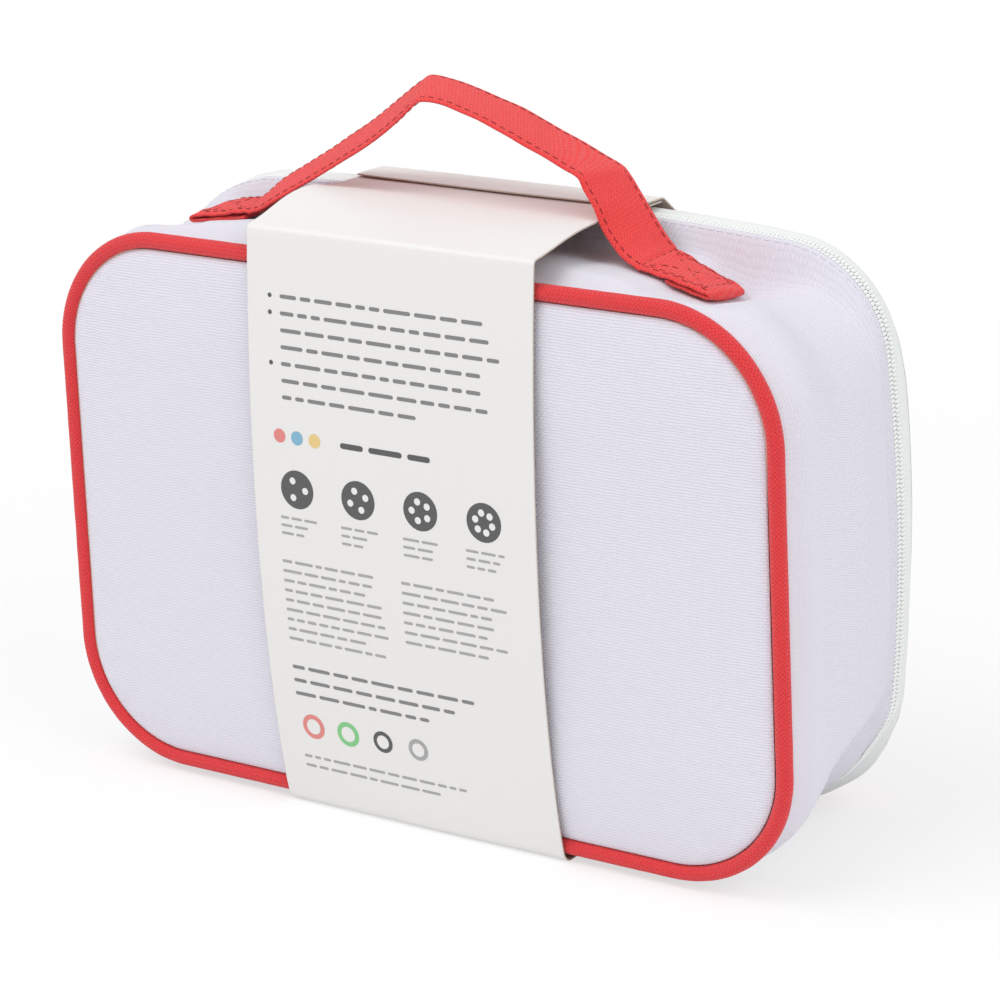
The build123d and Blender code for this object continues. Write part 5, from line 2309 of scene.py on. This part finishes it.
# ---- Studio ----
@dataclass
class Studio:
    """Floor, soft light and the camera."""

    camera_place: tuple[float, float, float] = (0.55190049, -0.80823609, 0.41124265)
    camera_right: tuple[float, float, float] = (0.83527341, 0.54866587, -0.0358342)
    camera_up: tuple[float, float, float] = (-0.14345981, 0.28038672, 0.94910619)
    camera_back: tuple[float, float, float] = (0.53078961, -0.7876224, 0.31291108)
    lens: float = 126.2545
    floor_size: float = 4.0
    floor_white: Colour = (0.93, 0.93, 0.93)
    floor_glow: float = 0.62
    glow_starts: float = 0.22
    glow_full: float = 0.55
    sky: float = 0.70
    lamp_target: tuple[float, float, float] = (0.0, 0.0, 0.08)
    lamps: tuple[tuple[str, tuple[float, float, float], float, float], ...] = (
        ("key", (-0.6, -0.9, 1.9), 1.4, 17.0),
        ("fill", (1.5, -0.3, 1.2), 1.2, 7.5),
    )

    def build_camera(self) -> None:
        """The camera."""
        data = bpy.data.cameras.new("camera")
        data.sensor_width = 36.0
        data.lens = self.lens
        made = linked("camera", data)
        rows = zip(self.camera_right, self.camera_up, self.camera_back, self.camera_place)
        made.matrix_world = Matrix([*rows, (0, 0, 0, 1)])
        bpy.context.scene.camera = made

    def build_floor(self) -> None:
        """A pale floor that melts into the white background away from the case."""
        mesh = bpy.data.meshes.new("floor")
        half = self.floor_size / 2
        corners = [(-half, -half, 0), (half, -half, 0), (half, half, 0), (-half, half, 0)]
        mesh.from_pydata(corners, [], [(0, 1, 2, 3)])
        made = linked("floor", mesh)
        material = bpy.data.materials.new("floor")
        material.use_nodes = True
        graph = Graph(material.node_tree)
        matt, glow = graph.node("ShaderNodeBsdfDiffuse"), graph.node("ShaderNodeEmission")
        graph.finish(matt, {"Color": (*self.floor_white, 1.0)})
        graph.finish(glow, {"Strength": 1.0})
        place = graph.node("ShaderNodeTexCoord")
        reach = graph.node("ShaderNodeVectorMath", operation="LENGTH")
        graph.link(place.outputs["Object"], reach.inputs[0])
        far = graph.node("ShaderNodeMapRange", interpolation_type="SMOOTHSTEP")
        graph.link(reach.outputs["Value"], far.inputs["Value"])
        graph.finish(far, {"From Min": self.glow_starts, "From Max": self.glow_full})
        least = self.floor_glow
        glowing = graph.math("MULTIPLY_ADD", far.outputs["Result"], 1 - least, least)
        share = graph.math("MULTIPLY", glowing, self.seen(graph))
        self.shown(graph, share, matt, glow, graph.node("ShaderNodeOutputMaterial"))
        mesh.materials.append(material)

    def build_world(self) -> None:
        """An even pale sky that shows as plain white."""
        world = bpy.data.worlds.new("studio")
        bpy.context.scene.world = world
        world.use_nodes = True
        graph = Graph(world.node_tree)
        lit, shown = (graph.node("ShaderNodeBackground") for _ in range(2))
        for light, strength in ((lit, self.sky), (shown, 1.0)):
            graph.finish(light, {"Color": (1, 1, 1, 1), "Strength": strength})
        self.shown(graph, self.seen(graph), lit, shown, graph.node("ShaderNodeOutputWorld"))

    @staticmethod
    def seen(graph: Graph) -> Socket:
        """1 where the background is looked at, straight, in a mirror or through glass.

        Args:
            graph: Takes the nodes.

        Returns:
            The mask.
        """
        path = graph.node("ShaderNodeLightPath")
        seen = graph.math("MAXIMUM", path.outputs["Is Camera Ray"], path.outputs["Is Glossy Ray"])
        return graph.math("MAXIMUM", seen, path.outputs["Is Transmission Ray"])

    @staticmethod
    def shown(graph: Graph, share: Socket, lit: Node, plain: Node, output: Node) -> None:
        """Sends a mix of two shaders to the output.

        Args:
            graph: Takes the node.
            share: Share of the second shader.
            lit: The first shader, which lights the case or takes its light.
            plain: The second one, which looks the same everywhere.
            output: The tree's output.
        """
        both = graph.node("ShaderNodeMixShader")
        for entry, source in zip(both.inputs, (share, lit.outputs[0], plain.outputs[0])):
            graph.link(source, entry)
        graph.link(both.outputs[0], output.inputs["Surface"])

    def build_lamp(self, name: str, place: Place, size: float, power: float) -> None:
        """A square soft lamp that looks at the case.

        Args:
            name: Its name.
            place: Where it stands, in metres.
            size: Width in metres.
            power: Power in watts.
        """
        data = bpy.data.lights.new(name, "AREA")
        data.size = size
        data.energy = power
        made = linked(name, data)
        made.location = place
        view = Vector(self.lamp_target) - Vector(place)
        made.rotation_euler = view.to_track_quat("-Z", "Y").to_euler()

    def build(self) -> None:
        """Everything round the case."""
        bpy.context.scene.view_settings.view_transform = "Standard"
        self.build_camera()
        self.build_floor()
        self.build_world()
        for lamp in self.lamps:
            self.build_lamp(*lamp)


# ---- The whole case ----
def main() -> None:
    """Builds every sub-assembly in order."""
    logging.basicConfig(level=logging.INFO, format="%(name)s %(message)s")
    shape = CaseShape()
    Studio().build()
    seam, front_seam = shape.body_rear_y, shape.lid_front_y
    PanelAssembly(
        "rear", "case", shape, shape.rear, shape.rear_seam_y, Turn.REAR, 4.75, (seam, seam + 7.0),
    ).build()
    PanelAssembly(
        "front", "lid", shape, shape.front, shape.front_seam_y, Turn.FRONT, 2.5,
        (front_seam - 7.0, front_seam),
    ).build()
    handle = Handle()
    soft = Shell(shape, handle)
    soft.build_gusset()
    soft.build_hinge()
    soft.build_lid_border()
    soft.build_topstitch()
    Zip(shape).build(soft)
    handle.build()
    Sleeve().build()
    for item in [o for o in bpy.data.objects if o.name.endswith(("_thread", "zip_tooth"))]:
        bpy.data.objects.remove(item)


if __name__ == "__main__":
    main()
